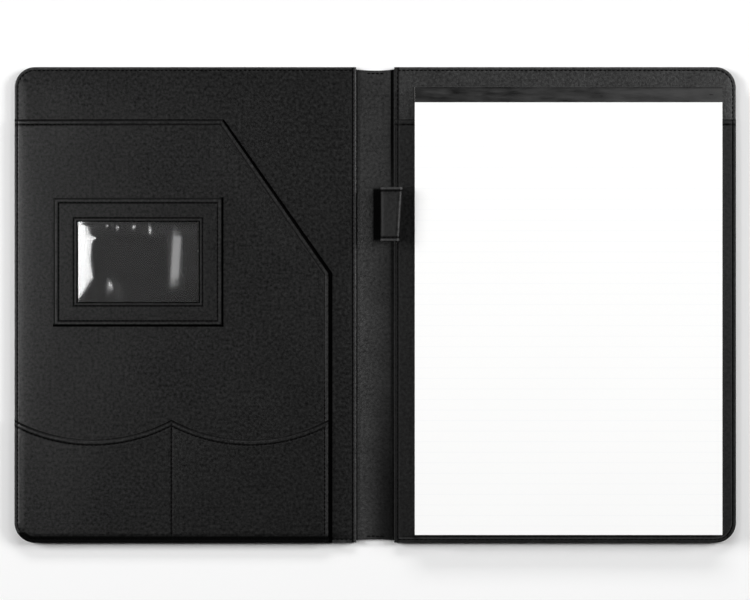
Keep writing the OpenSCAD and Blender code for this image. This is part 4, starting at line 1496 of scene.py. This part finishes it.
sewn_low, sewn_high = window_low[:2] + HEM_STITCH_IN, window_high[:2] - HEM_STITCH_IN
ring_low, ring_high = open_low - HEM_STITCH_IN, open_high + HEM_STITCH_IN
window_lines = (
    [[sewn_high[0], sewn_low[1]], sewn_low, [sewn_low[0], sewn_high[1]], sewn_high],
    [[sewn_high[0], sewn_low[1] + MOUTH_GAP], [sewn_high[0], sewn_high[1] - MOUTH_GAP]],
    [ring_low, [ring_high[0], ring_low[1]], ring_high, [ring_low[0], ring_high[1]], ring_low],
)
window_rows = [level_line(points, window_high[2] + FRAME_HEM * hem_floor) for points in window_lines]
sew("window_thread", window_rows, "front_cover", "window_stitching")

spine_y = spine_high[1] - STITCH_IN - 0.6
spine_ends = [[[-SPINE_ROW, end * spine_y], [SPINE_ROW, end * spine_y]] for end in (-1, 1)]
spine_rows = [level_line(points, spine_high[2] + 0.12) for points in spine_ends]
sew("spine_thread", spine_rows, "spine", "spine_stitching")

seam_y = np.array([[loop_low[1] + HEM_STITCH_IN], [loop_high[1] - HEM_STITCH_IN]])
seam_inner, seam_outer = (
    strap_place(seam_y, np.full((2, 1), STRAP_T / 2 + offset))[:, LOOP_TOP] for offset in (-0.2, 0.8)
)
loop_rows = list(zip(seam_inner, seam_outer - seam_inner))
sew("pen_loop_thread", loop_rows, "pen_loop", "pen_loop_stitching")

# %% [markdown]
# ## Paper
# Writing paper is white with a faint ruling. The lines run across the sheet at an even pitch, so
# they come from the height on the sheet alone. Fibres make it slightly uneven. The cut edges of a block
# of sheets show as fine level lines.

# %% Make the papers
RULE_PITCH, RULE_W = 7.2, 0.35
PAPER_SHADES = (0.935, 0.935, 0.93, 1), (0.955, 0.955, 0.95, 1)
RULE_SHADE = (0.905, 0.91, 0.915, 1)
PAGE_SHADES = grey(0.62), grey(0.93)  # of the cut edges


def ruled_paper():
    """White paper with pale ruled lines across it."""
    material, tree, shader = new_material("ruled_paper", Roughness=0.85, Specular_IOR_Level=0.25)
    place = cut_place(tree)
    height = node(tree, "SeparateXYZ", Vector=place).outputs["Y"]
    line = calculate(tree, "LESS_THAN", calculate(tree, "FLOORED_MODULO", height, RULE_PITCH), RULE_W)
    fibres = noise(tree, place, 1.4, 5.0, 0.7)
    sheet = mix_colours(tree, fibres, *PAPER_SHADES)
    feed(tree, shader, Base_Color=mix_colours(tree, line, sheet, RULE_SHADE))
    add_bump(tree, shader, fibres, 0.02)
    return material


def page_edges():
    """Cut edges of many sheets: level lines of uneven shade."""
    material, tree, shader = new_material("page_edges", Roughness=0.9, Specular_IOR_Level=0.2)
    place = node(tree, "Mapping", Vector=solid_place(tree), Scale=(0.05, 0.05, 9.0)).outputs["Vector"]
    layers = noise(tree, place, 1.0, 3.0)
    feed(tree, shader, Base_Color=mix_colours(tree, layers, *PAGE_SHADES))
    add_bump(tree, shader, layers, 0.1)
    return material


paper = ruled_paper()
print(f"lines every {RULE_PITCH} mm")

# %% [markdown]
# ## Block of sheets
# The block is a stack of sheets that were never knocked up quite true. Its top is a ruled sheet. Its sides
# are rings, one for every few sheets, each drawn in by its own small amount.

# %% Make the block
LAYERS = 26
UNTRUE = 0.16  # how far a layer may lie in
shuffle = np.random.default_rng(7)


def paper_block():
    """Ruled top and bottom grids, and between their edges a ring for each layer, drawn in at random."""
    x, y = np.meshgrid(*[np.linspace(pad_low[i], pad_high[i], 12) for i in (0, 1)])
    count = x.size
    index = np.arange(count).reshape(x.shape)
    ring = border(index)
    flat = np.stack([x, y], -1).reshape(-1, 2)
    middle, half = (pad_low + pad_high)[:2] / 2, (pad_high - pad_low)[:2] / 2
    heights = np.linspace(pad_low[2], pad_high[2], LAYERS)
    inset = shuffle.uniform(0.0, UNTRUE, LAYERS)
    outline = flat[ring] - middle
    rings = middle + outline * (1 - inset[:, None, None] / half * (np.abs(outline) > half - SAME))
    levels = np.broadcast_to(heights[:, None, None], rings.shape[:2] + (1,))
    rings = np.concatenate([rings, levels], -1).reshape(-1, 3)
    points = np.concatenate([at_height(flat, pad_high[2]), at_height(flat, pad_low[2]), rings])
    layer = 2 * count + np.arange(LAYERS * len(ring)).reshape(LAYERS, -1)
    layer = np.concatenate([layer, layer[:, :1]], 1)
    around = np.concatenate([ring, ring[:1]])
    sides = quads(np.concatenate([[around + count], layer, [around]]))
    faces = [quads(index), quads(index + count)[:, ::-1], sides]
    cut = np.concatenate([flat, flat, rings[:, :2]])
    piece = new_piece("pad_paper_block", points, faces, paper, cut)
    piece.data.materials.append(page_edges())
    on_side = np.arange(len(piece.data.polygons)) >= len(faces[0]) + len(faces[1])
    piece.data.polygons.foreach_set("material_index", on_side.astype(np.int32))
    put_on(piece, "writing_pad", "pad_sheets")
    print("paper block:", LAYERS, "layers")


paper_block()

# %% [markdown]
# ## Loose top sheet
# The top sheet turns over the head of the pad. It is one thin sheet that waves a little, with more rows
# near the tape.

# %% Make the loose top sheet
LEAF_BEND = 14.0  # how far from the tape its rows lie closer together
LEAF_WAVE, LEAF_WAVE_L = 0.12, 120.0  # how far it waves up, and how long its waves are
leaf_low, leaf_high = corners("top_sheet")


def loose_sheet():
    """The top sheet: a thin sheet that waves a little, and lies flat by the tape."""
    hinge = leaf_high[1]
    rows = np.linspace(leaf_low[1], hinge - LEAF_BEND, 60)
    bend_rows = hinge - LEAF_BEND * np.linspace(1, 0, 29)[1:]
    columns = np.linspace(leaf_low[0], leaf_high[0], 40)
    x, y = np.meshgrid(columns, np.concatenate([rows, bend_rows]))
    lift = LEAF_WAVE * (1 + waves(x, y, LEAF_WAVE_L, 0.3)) * ramp(hinge - y, 2, 60)
    piece = sheet_piece("pad_top_sheet", x, y, leaf_high[2] + lift, leaf_low[2] + lift, paper)
    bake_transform(piece)
    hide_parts("top_sheet")


loose_sheet()

# %% [markdown]
# ## Binding tape
# A strip of glossy black tape holds the head of the pad. It starts under the backing board, goes up over
# the head and down onto the face. It is the same kind of piece as the pen loop: a line with a thickness,
# carried straight across. Pressing it down by hand leaves long low streaks in its gloss. Its right side is
# painted paler, a painted sheen, and its bend over the head is painted dark, a painted shade.

# %% Finish the tape
tape_low, tape_high = corners("pad_binding_tape")
TAPE_FACE = tape_high[1] - tape_low[1]  # width of the tape on the face of the pad
TAPE_SHADED_BEND = 0.3, 1.8  # painted shade: dark and dull up to the first distance from its bend, and glossy from the second
TAPE_SHADES, BEND_PAINTED_SHADE = (grey(0.006), grey(0.027)), grey(0.002)  # in its streaks, and the painted shade at the bend
TAPE_GLOSS, TAPE_ROUGH = (0.02, 0.55), (0.26, 0.4)  # shine at the bend and off it, range of roughness
STREAKS = (0.05, 0.22, 1.0)  # how the noise is drawn out along the tape
TAPE_PAINTED_SHEEN, TAPE_PAINTED_SHEEN_FROM = 0.045, 40.0  # its painted sheen, paler to the right, from so far across


def tape_finish():
    """Glossy black tape with long streaks, painted paler to the right as a painted sheen, and dark and dull
    at the bend over the head as painted shade.
    """
    material, tree, shader = new_material("binding_tape")
    place = cut_place(tree)
    stretched = node(tree, "Mapping", Vector=place, Scale=STREAKS).outputs["Vector"]
    streaks, weave = noise(tree, stretched, 1.0, 3.0), noise(tree, place, 0.8, 2.0)
    spot = node(tree, "SeparateXYZ", Vector=place).outputs
    off_bend = calculate(tree, "ABSOLUTE", calculate(tree, "SUBTRACT", spot["Y"], TAPE_FACE), 0.0)
    # painted shade: dark and dull towards the bend over the head
    face = remap(tree, off_bend, *TAPE_SHADED_BEND, 0.4, 1.0)
    shade = mix_colours(tree, remap(tree, streaks, 0.35, 0.65, 0, 1), *TAPE_SHADES)
    # painted sheen: paler towards the right
    rubbed = remap(tree, spot["X"], tape_low[0] + TAPE_PAINTED_SHEEN_FROM, tape_high[0], 0.0, 0.5)
    shade = mix_colours(tree, rubbed, shade, grey(TAPE_PAINTED_SHEEN))
    feed(
        tree, shader, Base_Color=mix_colours(tree, face, BEND_PAINTED_SHADE, shade),
        Specular_IOR_Level=remap(tree, face, 0, 1, *TAPE_GLOSS),
        Roughness=remap(tree, streaks, 0.3, 0.7, *TAPE_ROUGH),
    )
    add_bump(tree, shader, calculate(tree, "ADD", streaks, calculate(tree, "MULTIPLY", weave, 0.06)), 0.3)
    return material


print(f"tape on the face of the pad: {TAPE_FACE:.1f} mm")

# %% Make the tape
TAPE_T = 0.2
TAPE_LIFT = 0.03  # how far it stands off in its streaks


def binding_tape():
    """Tape round the head of the pad: a C of three runs with soft corners, carried across."""
    half = TAPE_T / 2
    edge_y, back_y = tape_low[1], tape_high[1] - half
    low_z, high_z = tape_low[2] + half, tape_high[2] - half
    c_points = np.array([[edge_y, low_z], [back_y, low_z], [back_y, high_z], [edge_y, high_z]])
    line = soft_line(c_points, 117, 2)
    normals = -line_normals(line)
    x = np.linspace(tape_low[0], tape_high[0], 43)[:, None]
    length = running_length(line)
    lift = TAPE_LIFT * (1 + waves(x, length[None] * 4, 60)) * ramp(length[-1] - length, 0, 3)
    sides = []
    for offset in (half + lift, -half + lift):
        y, z = (line[None] + offset[..., None] * normals[None]).transpose(2, 0, 1)
        sides.append(np.stack([x + 0 * y, y, z], -1)[:, ::-1])
    points, faces = closed_sheet(*sides)
    cut = both_sides(np.stack(np.broadcast_arrays(x, length[None]), -1))
    piece = new_piece("pad_head_tape", points, [faces], tape_finish(), cut)
    put_on(piece, "writing_pad", "pad_binding_tape")
    print(f"tape: {length[-1]:.1f} mm wide before it is folded")


binding_tape()

# %% [markdown]
# ## Boards and glue
# The stiff boards, the spine's stiffener, the pad's backing board and its glue have the right shape in the
# CAD model already, so they stay and only get their finish: grey board with fibres in it, and milky glue.

# %% Finish the CAD nodes that stay
BOARD_SHADES = (0.16, 0.14, 0.115, 1), (0.36, 0.32, 0.27, 1)
GLUE_SHADES = (0.62, 0.61, 0.56, 1), (0.8, 0.79, 0.74, 1)


def greyboard():
    """Grey board: short fibres of two shades."""
    material, tree, shader = new_material("greyboard", Roughness=0.92, Specular_IOR_Level=0.2)
    fibres = noise(tree, solid_place(tree), 1.2, 6.0, 0.75)
    feed(tree, shader, Base_Color=mix_colours(tree, fibres, *BOARD_SHADES))
    add_bump(tree, shader, fibres, 0.08)
    return material


def pad_glue():
    """Milky padding glue, uneven from the brush."""
    material, tree, shader = new_material("padding_glue", Roughness=0.35)
    brush = noise(tree, solid_place(tree), 3.0, 3.0)
    feed(tree, shader, Base_Color=mix_colours(tree, brush, *GLUE_SHADES))
    add_bump(tree, shader, brush, 0.15)
    return material


def refinish(names, material):
    """Gives CAD nodes that stay a finish of their own."""
    for name in names:
        mesh = frame["nodes"][name].data
        mesh.materials.clear()
        mesh.materials.append(material)
    print(material.name, "on", len(names), "CAD nodes")


refinish(["back_board", "front_board", "spine_stiffener", "pad_backboard"], greyboard())
refinish(["pad_glue"], pad_glue())

# %% [markdown]
# ## Table
# The table is a white sweep: a floor that curves up into a wall all round. It is a surface of revolution.
# The floor takes the folder's shadow. Far from the folder it would only light it from below, so there it
# is dark to the light and glows white for the camera and for what mirrors it.

# %% Lay the table
SWEEP_R, SWEEP_BEND, SWEEP_H = 9.0, 1.4, 2.5  # metres, wide enough for a camera far off to stand on
FLOOR_Z = -0.0003
TURNS = 72  # points round the sweep
GLOW_FROM, GLOW_TO = 0.4, 0.8  # metres from the folder's middle
NEAR_SHADES, FAR_SHADE = (grey(0.93), grey(0.945)), grey(0.1)


def table_finish():
    """White table that takes shadows. Away from the folder it is dark to the light, so that it doesn't light
    the folder from below, and for the camera and for mirrored and clear surfaces it glows white there."""
    plain = {"Roughness": 0.9, "Specular_IOR_Level": 0.0, "Emission_Color": grey(1.0)}
    material, tree, shader = new_material("white_table", **plain)
    grain = noise(tree, solid_place(tree), 400.0, 2.0)
    place = node(tree, "TexCoord").outputs["Object"]
    distance = node(tree, "VectorMath", {"operation": "LENGTH"}, Vector=place).outputs["Value"]
    far = remap(tree, distance, GLOW_FROM, GLOW_TO, 0.0, 1.0)
    near_white = mix_colours(tree, grain, *NEAR_SHADES)
    path = node(tree, "LightPath").outputs
    seen = calculate(tree, "MAXIMUM", path["Is Camera Ray"], path["Is Glossy Ray"])
    seen = calculate(tree, "MAXIMUM", seen, path["Is Transmission Ray"])
    glow = calculate(tree, "MULTIPLY", seen, far)
    feed(tree, shader, Base_Color=mix_colours(tree, far, near_white, FAR_SHADE), Emission_Strength=glow)
    return material


def table():
    """Surface of revolution: a flat disc, a quarter circle and a straight wall."""
    turn = np.linspace(0, math.pi / 2, 14)
    disc = np.linspace(0, SWEEP_R, 16)[1:-1]
    radius = np.concatenate([disc, SWEEP_R + SWEEP_BEND * np.sin(turn), [SWEEP_R + SWEEP_BEND]])
    height = np.concatenate([0 * disc, SWEEP_BEND * (1 - np.cos(turn)), [SWEEP_H]])
    angle = np.linspace(0, 2 * math.pi, TURNS + 1)[:-1]
    x, y = radius[:, None] * np.cos(angle), radius[:, None] * np.sin(angle)
    points = np.stack([x, y, height[:, None] + FLOOR_Z + 0 * x], -1).reshape(-1, 3) / MM
    points = np.concatenate([points, [[0, 0, FLOOR_Z / MM]]])
    index = np.arange(x.size).reshape(x.shape)
    index = np.concatenate([index, index[:, :1]], 1)
    fan = np.stack([np.full(TURNS, len(points) - 1), index[0, :-1], index[0, 1:]], -1)
    piece = new_piece("white_table", points, [quads(index)[:, ::-1], fan], table_finish(), points[:, :2])
    print(f"table: {2 * SWEEP_R:.0f} m across")


table()

# %% [markdown]
# ## Light
# Soft boxes stand at the head and at both sides, so the shadows fall to the foot and a little to either
# side, as in the photograph. The two small keys are what the film and the worn ridges mirror. Each box is
# given as its share of the light on the table, and all shares with the sky's add up to about one, so a
# colour renders about as it is written.

# %% Set up the soft boxes and the sky
SKY = 0.02
SOFT_BOXES = (  # name, direction, distance, size in metres, and share of the light
    ("head_box", (0.0, 0.9, 0.42), 5.0, (4.0, 1.0), 0.2),
    ("left_key", (-0.62, 0.06, 1.0), 1.2, (0.14, 0.36), 0.115),
    ("right_key", (0.62, 0.2, 1.0), 1.2, (0.14, 0.36), 0.105),
    ("low_left_box", (-0.87, 0.24, 0.44), 4.0, (1.7, 1.1), 0.33),
    ("low_right_box", (0.87, 0.24, 0.44), 4.0, (1.7, 1.1), 0.33),
)


def soft_box(name, towards, distance, size, share):
    """An area lamp in the direction towards, facing the folder, that gives that share of a plain level."""
    direction = np.array(towards) / np.linalg.norm(towards)
    lamp = bpy.data.lights.new(name, "AREA")
    lamp.shape = "RECTANGLE"
    lamp.size, lamp.size_y = size
    lamp.energy = share * math.pi**2 * distance**2 / direction[2]
    box = bpy.data.objects.new(name, lamp)
    box.location = direction * distance
    box.rotation_euler = box.location.to_track_quat("Z", "Y").to_euler()
    box.visible_camera = False
    bpy.context.scene.collection.objects.link(box)


for soft_box_row in SOFT_BOXES:
    soft_box(*soft_box_row)
world = bpy.data.worlds.new("studio_sky")
world.use_nodes = True
world.node_tree.nodes["Background"].inputs["Color"].default_value = grey(SKY)
bpy.context.scene.world = world
print("light shares add up to", round(sum(row[-1] for row in SOFT_BOXES) + SKY, 2))

# %% [markdown]
# ## Camera
# The camera looks straight down from far off, so the pad, which stands higher than the covers, hardly
# looks larger than it is. The lens follows from the width of the picture at the folder.

# %% Place the camera
VIEW_W = 0.5137  # width of the picture at the folder, in metres
EYE_HEIGHT = 2.9  # above the covers
EYE = (-0.0002, 0.0033, EYE_HEIGHT + 0.003)

camera_data = bpy.data.cameras.new("camera")
camera_data.lens = camera_data.sensor_width * EYE_HEIGHT / VIEW_W
camera = bpy.data.objects.new("camera", camera_data)
camera.location = EYE
bpy.context.scene.collection.objects.link(camera)
bpy.context.scene.camera = camera
bpy.context.scene.view_settings.view_transform = "Standard"
print(f"camera lens {camera_data.lens:.1f} mm")
